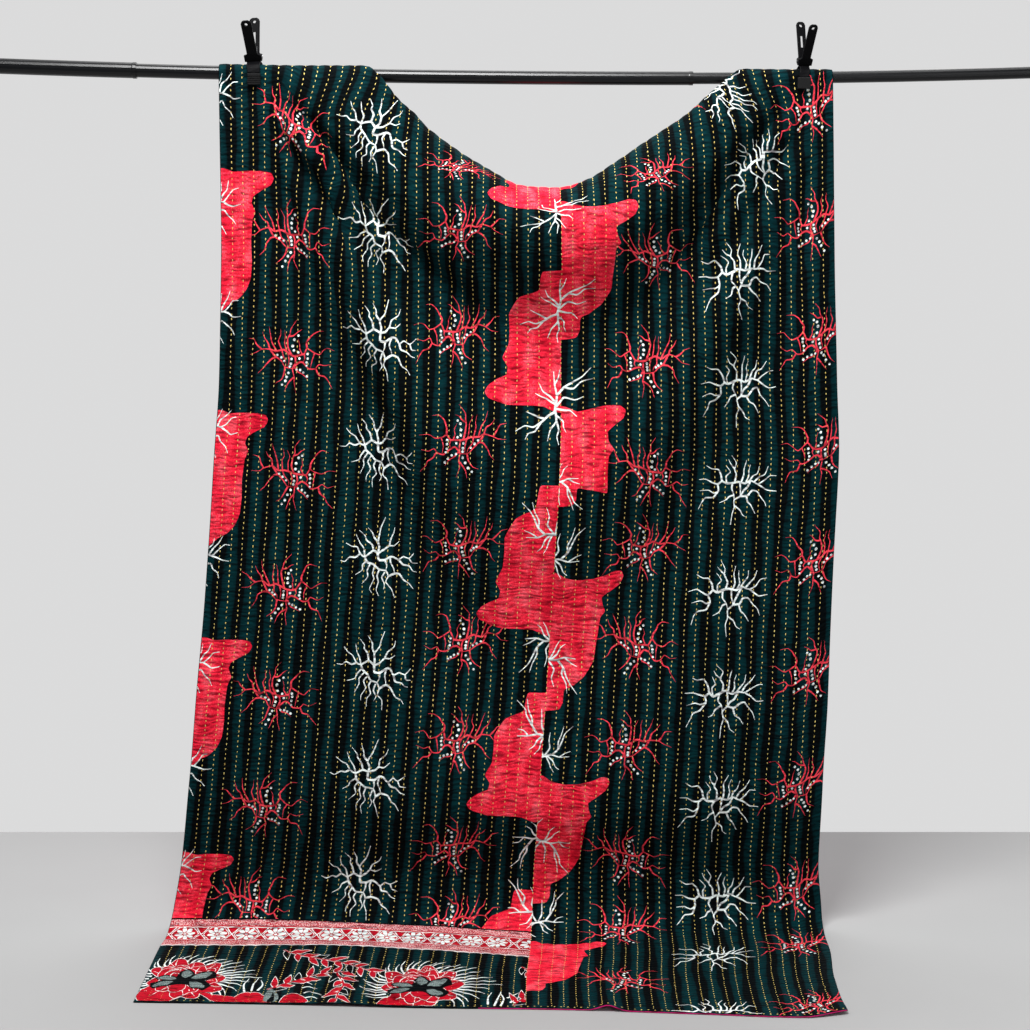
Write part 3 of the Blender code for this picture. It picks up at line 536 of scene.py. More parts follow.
def rounded(p, spacing, bend):
    """Points at about every spacing of a smooth curve through p, without its two end points."""
    out = []
    for k in range(1, len(p) - 2):
        a, b, c, d = p[k - 1:k + 3]
        count = max(2, int(math.ceil(np.linalg.norm(c - b) / spacing)))
        t = (np.arange(count) / count)[:, None]
        leave, arrive = bend * (c - a), bend * (d - b)
        out.append(
            (2 * t**3 - 3 * t**2 + 1) * b + (t**3 - 2 * t**2 + t) * leave
            + (3 * t**2 - 2 * t**3) * c + (t**3 - t**2) * arrive
        )
    return np.concatenate(out)


def curve(points, spacing, bend=0.5):
    """A smooth line through points."""
    p = np.asarray(points, float)
    p = np.concatenate([[2 * p[0] - p[1]], p, [2 * p[-1] - p[-2]]])
    return np.concatenate([rounded(p, spacing, bend), p[-2:-1]])


def closed(points, spacing=4.0, bend=0.5):
    """A smooth closed outline through points."""
    p = np.asarray(points, float)
    return rounded(np.concatenate([p[-1:], p, p[:2]]), spacing, bend)


def cut(shape, axis, value, above):
    """The part of a closed outline on one side of a line along an axis."""
    kept = []
    for k in range(len(shape)):
        a, b = shape[k - 1], shape[k]
        a_in = a[axis] >= value if above else a[axis] <= value
        b_in = b[axis] >= value if above else b[axis] <= value
        if a_in != b_in:
            t = (value - a[axis]) / (b[axis] - a[axis])
            kept.append((a[0] + t * (b[0] - a[0]), a[1] + t * (b[1] - a[1])))
        if b_in:
            kept.append(b)
    return kept


def fill_cell(target, cell, lift):
    """Adds one cell of a filled shape: as it is if it has four corners, else as a fan."""
    ring = [
        p for k, p in enumerate(cell)
        if abs(p[0] - cell[k - 1][0]) > 1e-6 or abs(p[1] - cell[k - 1][1]) > 1e-7
    ]
    n = len(ring)
    if n < 3:
        return
    area = sum(ring[k - 1][0] * ring[k][1] - ring[k][0] * ring[k - 1][1] for k in range(n))
    if abs(area) < 1e-6:
        return
    if area < 0:
        ring = ring[::-1]
    faces = [(0, 1, 2, 3)]
    if n != 4:
        ring = ring + [(sum(p[0] for p in ring) / n, sum(p[1] for p in ring) / n)]
        faces = [(k, (k + 1) % n, n) for k in range(n)]
    target.add([p[0] for p in ring], [p[1] for p in ring], lift, faces)


def fill_shape(target, outline, lift, side, lowest=PRINT_END):
    """Fills a closed outline of (column, distance from the hem), cell by cell of the cloth."""
    shape = [(float(a), float(b)) for a, b in outline]
    for axis, value, above in ((0, side[0], True), (0, side[1], False), (1, lowest, True)):
        shape = cut(shape, axis, value, above)
        if len(shape) < 3:
            return
    columns = [p[0] for p in shape]
    for c in range(int(math.floor(min(columns))), int(math.ceil(max(columns)))):
        strip = cut(cut(shape, 0, c, True), 0, c + 1, False)
        if len(strip) < 3:
            continue
        heights = [p[1] for p in strip]
        for r in range(int(min(heights) // ROW_CELL), int(max(heights) // ROW_CELL) + 1):
            cell = cut(cut(strip, 1, r * ROW_CELL, True), 1, (r + 1) * ROW_CELL, False)
            fill_cell(target, cell, lift)


class Pen:
    """Draws on the cloth in a motif's own mm, right and up from a place on it."""

    def __init__(self, node, from_hem, turn=0.0, mirror=False, scale=1.0, tall=1.0,
                 side=LEFT, lowest=PRINT_END):
        self.node, self.from_hem = node, from_hem
        self.cos, self.sin = math.cos(math.radians(turn)), math.sin(math.radians(turn))
        self.mirror, self.scale, self.tall = mirror, scale, tall
        self.side, self.lowest = side, lowest

    def place(self, points):
        """Columns and distances from the hem of the motif's points."""
        p = np.asarray(points, float) * 0.001 * self.scale
        x, y = (-p[:, 0] if self.mirror else p[:, 0]), p[:, 1]
        across = self.node + (x * self.cos - y * self.sin) / NODE_WIDTH
        return np.stack([across, self.from_hem + (x * self.sin + y * self.cos) * self.tall], -1)

    def shape(self, target, outline, lift):
        fill_shape(target, self.place(outline), lift, self.side, self.lowest)

    def line(self, target, points, width, lift, thin_end, thin_start=0.9):
        """A tapering line of the print. Its ends are shares of its width."""
        line = curve(points, LINE_SPACING, CROOKED)
        along = np.gradient(line, axis=0)
        along /= np.linalg.norm(along, axis=-1, keepdims=True) + 1e-9
        across = np.stack([-along[:, 1], along[:, 0]], -1)
        t = np.linspace(0, 1, len(line))
        starting = np.where(t < 0.12, thin_start + (1 - thin_start) * t / 0.12, 1.0)
        ending = 1 - (1 - thin_end) * np.clip((t - 0.08) / 0.92, 0, 1) ** 1.15
        half = (0.5 * width * starting * ending)[:, None]
        left, right = self.place(line + across * half), self.place(line - across * half)
        node, from_hem = np.concatenate([left, right]).T
        low, high = self.side
        inside = (node > low) & (node < high) & (from_hem > self.lowest)
        n = len(line)
        rings = [(k, k + 1, n + k + 1, n + k) for k in range(n - 1)]
        faces = [ring for ring in rings if inside[list(ring)].any()]
        target.add(np.clip(node, low, high), np.maximum(from_hem, self.lowest), lift, faces)

    def disc(self, target, centre, radius, lift, sides=8):
        angle = np.arange(sides) * 2 * math.pi / sides
        rim = np.stack([np.cos(angle), np.sin(angle)], -1) * radius + np.asarray(centre, float)
        node, from_hem = self.place(np.concatenate([rim, [centre]])).T
        low, high = self.side
        if node.min() >= low and node.max() <= high and from_hem.min() >= self.lowest:
            faces = [(k, (k + 1) % sides, sides) for k in range(sides)]
            target.add(node, from_hem, lift, faces)


# Each line of a twig is its width, then its points, in mm right and up from the twig's middle.
# A white twig: a forked stem, two crooked arms, the links between them and their twigs.
WHITE_TWIG = (
    (5, (2, -6), (0, 8), (2, 22), (-1, 34), (7, 52), (10, 66), (17, 86)),
    (4.2, (-1, 34), (-9, 45), (-12, 56), (-21, 70)),
    (4.6, (0, 10), (-13, 17), (-29, 8), (-41, 13), (-50, 26), (-60, 30), (-72, 41)),
    (4, (-13, 17), (-16, 31), (-25, 43), (-27, 52), (-40, 63)),
    (3.4, (-29, 8), (-33, 24), (-42, 36), (-49, 53)),
    (4, (-41, 13), (-52, 6), (-63, 9), (-74, 2), (-86, 5)),
    (4.6, (-29, 8), (-24, -5), (-13, -13), (-2, -24), (14, -27), (19, -40), (16, -52), (26, -66),
     (31, -86)),
    (3.6, (-26, -2), (-36, -12), (-39, -22), (-55, -31)),
    (3.2, (-19, -9), (-27, -22), (-26, -36), (-38, -52)),
    (3.2, (-11, -15), (-17, -30), (-13, -44), (-21, -60), (-19, -72)),
    (3.4, (0, -24), (-6, -38), (-1, -52), (-8, -66), (-5, -82)),
    (5, (2, -6), (15, -5), (27, 4), (36, 2), (47, -8), (57, -1), (70, -4), (83, 8)),
    (4.4, (47, -8), (54, -19), (67, -21), (76, -30), (85, -33)),
    (4, (27, 4), (26, -10), (31, -22), (33, -33)),
    (4.2, (15, -5), (17, -16), (14, -27)),
    (4.8, (19, -40), (33, -33), (46, -38), (56, -52), (68, -58), (77, -69)),
    (3.6, (12, -30), (7, -44), (13, -56), (10, -68)),
    (4.6, (0, 10), (13, 17), (23, 26), (35, 25), (47, 33)),
    (3.6, (23, 26), (27, 41), (38, 52), (41, 64)),
    (3.4, (70, -4), (76, -14), (88, -16)),
)
# The same kind of twig drawn anew for the second panel: a long upper arm with a row of twigs.
WHITE_TWIG_B = (
    (4.8, (-24, 6), (-33, 12), (-36, 25), (-46, 38), (-60, 36), (-73, 41)),
    (5.2, (-24, 6), (-10, 12), (4, 18), (19, 16), (33, 23), (48, 21), (61, 32), (72, 44), (85, 46)),
    (4.2, (48, 21), (61, 15), (72, 9), (90, 11)),
    (4.4, (-33, 12), (-44, 3), (-58, 5), (-70, 9), (-88, 6)),
    (4, (-44, 3), (-41, -13), (-52, -18), (-64, -15), (-83, -20)),
    (4, (-41, -13), (-50, -29), (-66, -36), (-74, -48), (-83, -66)),
    (3.6, (-24, 6), (-25, 22), (-18, 34), (-29, 48)),
    (4, (-4, 14), (-2, 33), (-10, 45), (-6, 60), (-17, 75)),
    (3.4, (-8, 45), (-19, 52), (-25, 62)),
    (3.8, (10, 17), (13, 34), (11, 50), (17, 70)),
    (3.4, (19, 16), (25, 32), (22, 46), (25, 60)),
    (3.6, (28, 20), (36, 36), (43, 46), (46, 62)),
    (3.8, (40, 22), (48, 38), (58, 48), (67, 65)),
    (4.2, (-10, 12), (-13, -4), (-5, -15), (-1, -27)),
    (4.4, (33, 23), (24, 8), (14, -3), (9, -15), (-1, -27), (1, -44), (-5, -60), (-3, -86)),
    (4, (8, 17), (8, 2), (9, -15)),
    (4.6, (9, -15), (25, -13), (35, 0), (46, 2), (54, -9), (66, -19), (73, -32)),
    (4.2, (22, -14), (29, -28), (38, -34), (47, -49)),
    (4, (-5, -15), (-15, -22), (-21, -34), (-33, -42)),
    (3.6, (0, -40), (12, -48), (17, -60), (27, -66)),
)
# A sparser twig with long thin branches, for the seam.
SEAM_TWIG = (
    (5.3, (0, 0), (3, 20), (1, 44), (3, 70)),
    (5.1, (3, 22), (22, 34), (48, 46), (66, 52), (87, 68)),
    (4.3, (22, 34), (40, 32), (62, 42), (87, 44)),
    (4.7, (2, 0), (22, 12), (44, 8), (64, 11)),
    (3.7, (2, 44), (14, 56), (19, 70)),
    (4.7, (0, 8), (-12, 22), (-26, 30), (-32, 44)),
    (4.1, (0, 4), (-18, 14), (-32, 20), (-44, 30)),
    (5.5, (0, 2), (-4, -10), (-20, -22), (-34, -30), (-52, -36), (-72, -34), (-90, -42)),
    (4.7, (-28, -27), (-44, -18), (-64, -4)),
    (4.3, (-36, -30), (-48, -46), (-62, -50), (-72, -62)),
    (5.1, (-2, -8), (-4, -30), (-14, -48), (-24, -70)),
    (4.3, (-4, -28), (2, -48), (-3, -62), (-3, -78)),
    (4.1, (-2, -20), (12, -32), (14, -44), (20, -58)),
    (4.7, (1, -4), (20, -12), (30, -14), (42, -26)),
)
# A red twig, with strings of white dots between its twigs. Each dot is x, y and radius.
RED_TWIG = (
    (4.2, (-8, -4), (-20, 2), (-36, -1), (-50, 7), (-68, 4), (-80, -4), (-97, -7)),
    (3.6, (-68, 4), (-78, 14), (-85, 24), (-98, 27)),
    (4.2, (-8, -4), (4, -9), (18, -9), (28, -7), (36, 6), (48, -2), (62, -7), (73, 1), (82, 5),
     (97, 2)),
    (4, (-50, 7), (-38, -10), (-24, -20), (-14, -33), (6, -36), (10, -30)),
    (4, (8, -31), (18, -22), (28, -25), (42, -37), (55, -36), (63, -27), (77, -32), (92, -27)),
    (3.6, (7, -9), (9, -22), (5, -36), (7, -52), (6, -64), (12, -86)),
    (3, (-9, -5), (-5, -18), (-7, -34)),
    (3, (-24, 1), (-21, -12), (-13, -22), (-12, -33)),
    (3, (50, -3), (46, -18), (45, -36)),
    (2.8, (27, -8), (30, -16), (26, -24)),
    (3.6, (-50, 7), (-54, 20), (-62, 28), (-68, 40)),
    (3.4, (-34, -1), (-43, 20), (-49, 34), (-55, 54)),
    (2.8, (-24, 1), (-29, 20), (-26, 32), (-28, 47)),
    (2.6, (-13, 0), (-16, 18), (-15, 30), (-20, 46)),
    (4, (0, -7), (-7, 10), (-8, 26), (-4, 38), (-3, 50), (10, 66)),
    (3.4, (-5, 32), (4, 34), (12, 42), (20, 46)),
    (2.6, (22, -8), (17, 4), (18, 14), (14, 26)),
    (4, (36, 6), (36, 18), (43, 30), (48, 38), (58, 44), (73, 42)),
    (3.8, (-34, -12), (-46, -14), (-57, -24), (-63, -36), (-74, -47)),
    (3.8, (-13, -34), (-17, -48), (-24, -60), (-36, -68)),
    (3.6, (6, -52), (-3, -60), (-9, -70), (-14, -84)),
    (3.4, (9, -33), (16, -44), (27, -49), (38, -58)),
    (3.4, (57, -36), (63, -48), (76, -53), (82, -62), (93, -78)),
)
RED_DOTS = (
    (14, 32, 2.7), (7, 25, 3.1), (4, 14, 3.4), (5, 3, 3.1), (13, -3, 2.7), (-33, -9, 2.6),
    (-25, -14, 2.9), (-18, -20, 2.6), (0, -14, 2.8), (0, -23, 3.1), (-1, -30, 2.9), (16, -15, 2.8),
    (36, -7, 2.9), (37, -15, 2.8), (36, -23, 2.8), (37, -31, 2.5), (13, -39, 2.5), (21, -41, 2.8),
    (29, -46, 2.7), (37, -52, 2.9), (-4, -44, 2.9), (-10, -52, 3.1), (-15, -62, 3.1),
    (-22, -72, 2.7),
)


# ---- materials
def feed(socket, value):
    """Links a node's output to an input, or sets the input's value."""
    if isinstance(value, Number):
        value = value.socket
    if isinstance(value, bpy.types.NodeSocket):
        socket.id_data.links.new(value, socket)
    else:
        socket.default_value = value


def add_node(tree, kind, inputs=None, **settings):
    """A new shader node. inputs are values, sockets or numbers by the input's name."""
    node = tree.nodes.new("ShaderNode" + kind)
    for name, value in settings.items():
        setattr(node, name, value)
    for name, value in (inputs or {}).items():
        feed(node.inputs[name], value)
    return node


class Number:
    """A number that shader nodes work out, to reckon with."""

    def __init__(self, socket):
        self.socket = socket

    def math(self, operation, *others):
        node = add_node(self.socket.id_data, "Math", operation=operation)
        for k, value in enumerate((self, *others)):
            feed(node.inputs[k], value)
        return Number(node.outputs[0])

    def __add__(self, other):
        return self.math("ADD", other)

    def __sub__(self, other):
        return self.math("SUBTRACT", other)

    def __mul__(self, other):
        return self.math("MULTIPLY", other)

    def from_whole(self):
        """The distance from the nearest whole number."""
        return (self - self.math("ROUND")).math("ABSOLUTE")


def ramp(fac, stops):
    """A colour for a number. stops are places and linear colours."""
    node = add_node(fac.socket.id_data, "ValToRGB", {"Fac": fac})
    elements = node.color_ramp.elements
    while len(elements) < len(stops):
        elements.new(0.5)
    for element, (place, colour) in zip(elements, stops):
        element.position = place
        element.color = (*colour, 1.0)
    return node.outputs["Color"]


def linear(value):
    """A linear share of light for an sRGB value of 0 to 255."""
    c = value / 255
    return c / 12.92 if c <= 0.04045 else ((c + 0.055) / 1.055) ** 2.4


def shades(*stops):
    """Stops of a ramp from rows of place, red, green and blue, the colours in sRGB."""
    return [(place, [linear(c) for c in colour]) for place, *colour in stops]


def noise_node(tree, vector, scale, detail, rough):
    inputs = {"Vector": vector, "Scale": scale, "Detail": detail, "Roughness": rough}
    return Number(add_node(tree, "TexNoise", inputs).outputs["Fac"])


def split(tree, vector):
    parts = add_node(tree, "SeparateXYZ", {"Vector": vector}).outputs
    return Number(parts[0]), Number(parts[1])


def new_material(name):
    made = bpy.data.materials.new(name)
    made.use_nodes = True
    return made, made.node_tree, made.node_tree.nodes["Principled BSDF"].inputs


def bumped(tree, shader, height, distance, strength):
    inputs = {"Height": height, "Distance": distance, "Strength": strength}
    feed(shader["Normal"], add_node(tree, "Bump", inputs).outputs["Normal"])


RIDGE_PITCH = 0.0108  # of the creases across the channels
RIDGE_WANDER = 26.0  # how far a soft noise shifts them, in radians of their wave
RIDGE_BROKEN, RIDGE_WAVE, RIDGE_BASE = 0.72, 0.062, 0.14
DIMPLE_ACROSS, DIMPLE_ALONG = 4.2, 2.6  # a dimple ends at 1 / these, of a channel and a stitch
DIMPLE_DEPTH, RIDGE_DEPTH, WEAVE_DEPTH = 0.55, 3.4, 0.06  # as shares of the bump's distance
# Painted shade: how far the cloth's colour is darkened in the creases, against the crease ridges.
PAINTED_CREASE_SHADE = ((0.35, (0.30, 0.26, 0.28)), (0.47, (0.78, 0.75, 0.76)), (0.60, (1.0, 1.0, 1.0)))


def cloth_material(name, colours, striped=False, fleck=0.45):
    """Printed cotton sewn in channels. A soft noise mixes the shades of colours, and painted shade
    darkens the creases.
    """
    made, tree, shader = new_material(name)
    metres = add_node(tree, "UVMap", uv_map="flat").outputs["UV"]
    across, along = split(tree, add_node(tree, "UVMap", uv_map="sewn").outputs["UV"])

    def cloth_noise(scale_across, scale_along, detail, rough=0.5):
        scale = (scale_across, scale_along, 1)
        stretched = add_node(tree, "Mapping", {"Vector": metres, "Scale": scale})
        return noise_node(tree, stretched.outputs["Vector"], 1.0, detail, rough)

    # Worn print: blotches of a few centimetres and flecks of a few yarns.
    blotches, flecks = cloth_noise(30, 14, 3.0, 0.6), cloth_noise(420, 260, 2.0, 0.7)
    worn = blotches * (1 - fleck) + flecks * fleck
    if striped:
        # Printed stripes about one channel wide, dark and teal, wandering a little.
        drift = (cloth_noise(26, 5, 2.0) - 0.5) * 1.1
        stripe = ((across + drift) * math.pi).math("COSINE") * 0.5 + 0.5
        worn = stripe * 0.8 + worn * 0.4
    base = ramp(worn, colours)

    # Puckers: low ridges across the channels, dimples at the stitches, and the weave.
    beside = (across.from_whole() * DIMPLE_ACROSS).math("POWER", 2.0)
    between = (along.from_whole() * DIMPLE_ALONG).math("POWER", 2.0)
    dimple = (beside + between).math("SQRT").math("MINIMUM", 1.0)
    broken, wander = cloth_noise(24, 105, 2.0, 0.6), cloth_noise(17, 20, 2.0)
    down = split(tree, metres)[1]
    wave = (down * (2 * math.pi / RIDGE_PITCH) + wander * RIDGE_WANDER).math("SINE")
    ridges = broken * RIDGE_BROKEN + (wave * RIDGE_WAVE + RIDGE_BASE)
    height = dimple * DIMPLE_DEPTH + ridges * RIDGE_DEPTH
    height += cloth_noise(900, 900, 1.0) * WEAVE_DEPTH
    bumped(tree, shader, height, 0.0016, 0.85)
    # Painted shade: the colour is darkened down in the creases, by the same ridges as the bump.
    painted_shade_mix = {"Factor": 1.0, "A": base, "B": ramp(ridges, PAINTED_CREASE_SHADE)}
    painted_shade_node = add_node(tree, "Mix", painted_shade_mix, data_type="RGBA", blend_type="MULTIPLY")
    feed(shader["Base Color"], painted_shade_node.outputs["Result"])
    feed(shader["Roughness"], 0.86)
    feed(shader["Specular IOR Level"], 0.06)
    return made


def plain_material(name, colours, rough, scale, metallic=0.0, bump=0.0, specular=0.5):
    """A plain finish whose colour and surface vary a little."""
    made, tree, shader = new_material(name)
    place = add_node(tree, "TexCoord").outputs["Object"]
    mottle = noise_node(tree, place, scale, 3.0, 0.6)
    feed(shader["Base Color"], ramp(mottle, colours))
    if bump:
        bumped(tree, shader, mottle, bump, 0.6)
    feed(shader["Roughness"], rough)
    feed(shader["Metallic"], metallic)
    feed(shader["Specular IOR Level"], specular)
    return made


GROUND = cloth_material(
    "print_ground",
    shades((0.47, 0, 5, 7), (0.54, 0, 18, 22), (0.60, 0, 32, 36), (0.98, 0, 42, 46)),
    striped=True,
)
RED = cloth_material(
    "print_red", shades((0.38, 214, 18, 46), (0.50, 250, 40, 66), (0.62, 255, 98, 112))
)
DEEP_RED = cloth_material("print_deep_red", shades((0.3, 168, 6, 30), (0.7, 206, 22, 44)))
RED_LINE = cloth_material(
    "print_red_line", shades((0.3, 222, 42, 60), (0.7, 255, 84, 98)), fleck=0.7
)
WHITE = cloth_material("print_white", shades((0.25, 228, 241, 238), (0.75, 246, 255, 252)))
GREY = cloth_material(
    "print_grey", shades((0.38, 66, 84, 84), (0.62, 150, 168, 164)), fleck=0.8
)
BLACK = cloth_material("print_black", shades((0.25, 2, 5, 7), (0.75, 4, 12, 15)))
PINK = cloth_material(
    "print_pink", shades((0.47, 182, 16, 40), (0.56, 236, 196, 196)), fleck=0.85
)
LINING = cloth_material("lining_cotton", shades((0.25, 158, 18, 84), (0.75, 190, 34, 104)))
THREAD = plain_material(
    "gold_thread", shades((0.3, 188, 158, 74), (0.7, 226, 204, 122)), 0.7, 60.0, specular=0.3
)

# ---- the cloth itself
LINING_RISE = 0.0003
LINING_CLEAR = 0.0004  # of the floor
ALL_ROWS, ALL_NODES = np.arange(LAST_ROW + 1), np.arange(NODES)

back = cloth.middle - cloth.normal * (
    0.5 * SHEET_THICKNESS - np.maximum(LINING_RISE * cloth.noise(11, 0.02, 0.011), 0)
)[..., None]
back[..., 2] = np.maximum(back[..., 2], LINING_CLEAR)


def skin(name, grid, rows, nodes, finish, turned=False):
    """The given rows and columns of a grid of points as one open skin."""
    pick = np.ix_(rows, nodes)
    part, from_hem = grid[pick], cloth.from_hem[pick]
    count = len(nodes)
    r, c = np.meshgrid(np.arange(len(rows) - 1), np.arange(count - 1), indexing="ij")
    a = (r * count + c).ravel()
    faces = np.stack([a, a + count, a + count + 1, a + 1], -1)
    faces = faces[:, ::-1] if turned else faces
    node = np.broadcast_to(nodes.astype(float), from_hem.shape)
    flat = np.stack([node.ravel(), from_hem.ravel()], -1)
    return cloth_piece(name, part.reshape(-1, 3), faces.tolist(), finish, flat)


panel_left = skin("quilt_panel_left", cloth.front, ALL_ROWS, ALL_NODES[:SEAM + 1], GROUND, True)
panel_right = skin("quilt_panel_right", cloth.front, ALL_ROWS, ALL_NODES[SEAM:], GROUND, True)
lining_rows = np.append(ALL_ROWS[:-1:3], LAST_ROW)
lining = skin("quilt_lining", back, lining_rows, ALL_NODES[::2], LINING)

# ---- turned edges
EDGE_SIDES = 4
EDGE_BULGE = 0.0014


def edge(name, rows, nodes, inward, finish):
    """A rounded turned edge from the printed face round to the lining."""
    rows, nodes = np.broadcast_arrays(rows, nodes)
    outward = unit(cloth.middle[rows, nodes] - cloth.middle[rows + inward[0], nodes + inward[1]])
    rings = []
    for s in range(EDGE_SIDES + 1):
        t = s / EDGE_SIDES
        bulge = EDGE_BULGE * math.sin(math.pi * t)
        rings.append(
            cloth.front[rows, nodes] * (1 - t) + back[rows, nodes] * t + outward * bulge
        )
    ring = EDGE_SIDES + 1
    faces = [
        (a, a + 1, a + ring + 1, a + ring)
        for k in range(len(rows) - 1) for a in range(k * ring, k * ring + EDGE_SIDES)
    ]
    flat = np.stack([nodes.astype(float), cloth.from_hem[rows, nodes]], -1)
    points = np.stack(rings, 1).reshape(-1, 3)
    return cloth_piece(name, points, faces, finish, np.repeat(flat, ring, axis=0))


# The hem is black up to a place left of the seam, and magenta from there on.
HEM_CHANGE = SEAM - 15
edges = [
    edge("quilt_edge_left", ALL_ROWS[::2], 0, (0, 1), BLACK),
    edge("quilt_edge_right", ALL_ROWS[::2], NODES - 1, (0, -1), BLACK),
    edge("quilt_edge_top", 0, ALL_NODES[::2], (1, 0), BLACK),
    edge("quilt_hem_left", LAST_ROW, ALL_NODES[:HEM_CHANGE + 1], (-1, 0), BLACK),
    edge("quilt_hem_right", LAST_ROW, ALL_NODES[HEM_CHANGE:], (-1, 0), LINING),
]

# ---- the print
# Heights of its layers above the face, in metres, so that the upper ones show.
RED_LIFT = 0.00030
UNDER_LIFT = 0.00036
FILAMENT_LIFT, RED_TWIG_LIFT, HEM_PETAL_LIFT = 0.00040, 0.00040, 0.00046
WHITE_TWIG_LIFT, DOT_LIFT = 0.00050, 0.00055
BAND_LIFT, ON_BAND_LIFT, DAISY_HEART_LIFT = 0.00060, 0.00075, 0.00080
STALK_LIFT = 0.00062
BAND_MIDDLE = 0.36  # the first panel's print above the band ends under it, here

white = Print("print_white_twigs", WHITE)
red_twigs = Print("print_red_twigs", RED_LINE)
dots = Print("print_dots", WHITE)
red = Print("print_red_shapes", RED)
pink = Print("print_band_strips", PINK)
black = Print("print_dark_shapes", BLACK)
grey = Print("print_grey_leaves", GREY)
deep_red = Print("print_band_and_blooms", DEEP_RED)


def by_hand(points, seed):
    """A motif's points moved a little, the same for points that are close together."""
    p = np.asarray(points, float)
    phase = seed * 1.9
    x = 1.6 * np.sin(p[:, 1] * 0.11 + phase) + 1.1 * np.sin(p[:, 0] * 0.17 + 2.3 * phase)
    y = 1.6 * np.sin(p[:, 0] * 0.12 + 1.4 * phase) + 1.1 * np.sin(p[:, 1] * 0.19 + 0.7 * phase)
    return p + np.stack([x, y], -1)


def draw_white(pen, seed, twig=WHITE_TWIG):
    for width, *points in twig:
        pen.line(white, by_hand(points, seed), width, WHITE_TWIG_LIFT, 0.28)


def draw_red(pen, seed):
    for width, *points in RED_TWIG:
        pen.line(red_twigs, by_hand(points, seed), width, RED_TWIG_LIFT, 0.12)
    for x, y, radius in RED_DOTS:
        pen.disc(dots, by_hand([(x, y)], seed)[0], radius, DOT_LIFT)


def draw_all(draw, rows, side, lowest=PRINT_END, **more):
    """Draws a motif for each row: its pixel across and down, and then what Pen takes."""
    for k, (px, py, *how) in enumerate(rows):
        draw(Pen(*cloth.find(px, py), *how, side=side, lowest=lowest), px * 0.37 + k, **more)


draw_all(draw_white, (
    (374, 131, -14, 0, 1, 0.92), (377, 232, -10), (380, 338, -4), (378, 449), (380, 558, 6),
    (373, 670, -3), (368, 777), (358, 880, -2),
), LEFT)
draw_all(draw_white, (
    (757, 168, 26, 0, 0.95), (738, 278, 8), (738, 388), (737, 488, -3, 0, 1, 0.9), (727, 597, 2),
    (722, 700), (717, 805, -2), (714, 902), (714, 957), (717, 1014),
), RIGHT, twig=WHITE_TWIG_B)
draw_all(draw_white, (
    (557, 212, 4, 0, 0.92, 0.6), (558, 308, 0, 0, 0.98), (555, 405, 6, 0, 1.05),
), BOTH, twig=SEAM_TWIG)
draw_all(draw_white, (
    (554, 534, 100, 0, 0.9), (551, 640, 84, 1, 0.9), (546, 735, 95, 0, 0.92),
    (543, 838, 88, 1, 0.92), (538, 912, 96, 0, 0.9),
), LEFT, BAND_MIDDLE, twig=SEAM_TWIG)
draw_all(draw_white, (
    (553, 481, -80, 0, 0.8), (551, 560, -96, 1, 0.9), (549, 660, -84, 0, 0.9),
    (545, 756, -92, 1, 0.8), (541, 842, -90, 0, 0.9), (538, 922, -90, 1, 0.8),
), RIGHT, twig=SEAM_TWIG)
draw_all(draw_white, ((722, 92, 50, 1, 0.95, 0.8),), RIGHT)
draw_all(draw_red, (
    (293, 120, -16), (291, 230, 3), (293, 352), (293, 470, -2), (285, 585), (277, 692, 2),
    (263, 802), (250, 897), (462, 167, -24, 1, 0.9, 0.5), (460, 226, -6, 1, 1, 0.9),
    (458, 328, 0, 1), (462, 437, 0, 1), (462, 542, 3, 1), (465, 636, 0, 1), (458, 736, -2, 1),
    (452, 842, 0, 1), (452, 917, 0, 1),
), LEFT, BAND_MIDDLE)
draw_all(draw_red, (
    (654, 170, 20, 1, 0.95, 0.55), (652, 252, 6), (648, 357, 0, 1), (650, 469, -3),
    (645, 543, 0, 1), (637, 640), (627, 740, 2, 1), (627, 852), (622, 925, 0, 1), (622, 978),
    (814, 100, 4, 1), (815, 218, 0, 1), (820, 332, 0, 1), (824, 442, 2, 1), (817, 555, 0, 1),
    (811, 665, 0, 1), (800, 780, 0, 1), (795, 882, 0, 1), (800, 943, 0, 1), (818, 1002, 0, 1),
), RIGHT)

# White twigs that the left edge cuts: they start past it, at these pixel heights.
for k, py in enumerate((103, 214, 322, 436, 562, 672, 778, 876)):
    from_hem = cloth.find(222, py)[1]
    pen = Pen(-6.0, from_hem, 6 * math.sin(k * 1.3), scale=0.95, lowest=BAND_MIDDLE)
    draw_white(pen, k + 0.5, WHITE_TWIG_B)

# The wavy red shapes along the panels' borders, in mm from the border and down from the top.
RED_EDGE = (
    (-8, 2), (30, 5), (60, 7), (95, 7), (115, 3), (121, -8), (114, -22), (90, -35), (74, -46),
    (70, -60), (78, -78), (71, -96), (68, -140), (70, -180), (68, -215), (58, -240), (42, -258),
    (20, -270), (-8, -280),
)
RED_SEAM_LEFT = (
    (-8, 0), (0, 1), (40, 1), (45, -3), (48, -14), (52, -41), (66, -48), (96, -61), (110, -80),
    (120, -99), (119, -128), (121, -160), (135, -187), (123, -205), (126, -221), (147, -229),
    (166, -241), (175, -254), (166, -267), (124, -280), (76, -282), (42, -284), (-8, -287),
)
RED_SEAM_RIGHT = (
    (-8, 0), (30, -4), (62, -9), (100, -6), (134, 3), (158, 13), (174, 13), (180, 3), (171, -14),
    (148, -31), (128, -44), (131, -60), (138, -74), (127, -88), (123, -120), (119, -150),
    (116, -178), (94, -212), (66, -233), (48, -240), (44, -246), (43, -268), (34, -282), (0, -286),
    (-8, -287),
)
RED_SHORT = (
    (-8, 0), (38, -6), (74, 1), (108, 9), (134, 12), (147, 4), (141, -14), (120, -33), (107, -47),
    (109, -66), (120, -82), (110, -98), (108, -128), (109, -170), (107, -177), (72, -172),
    (44, -168), (40, -172), (39, -192), (30, -205), (0, -208), (-8, -208),
)


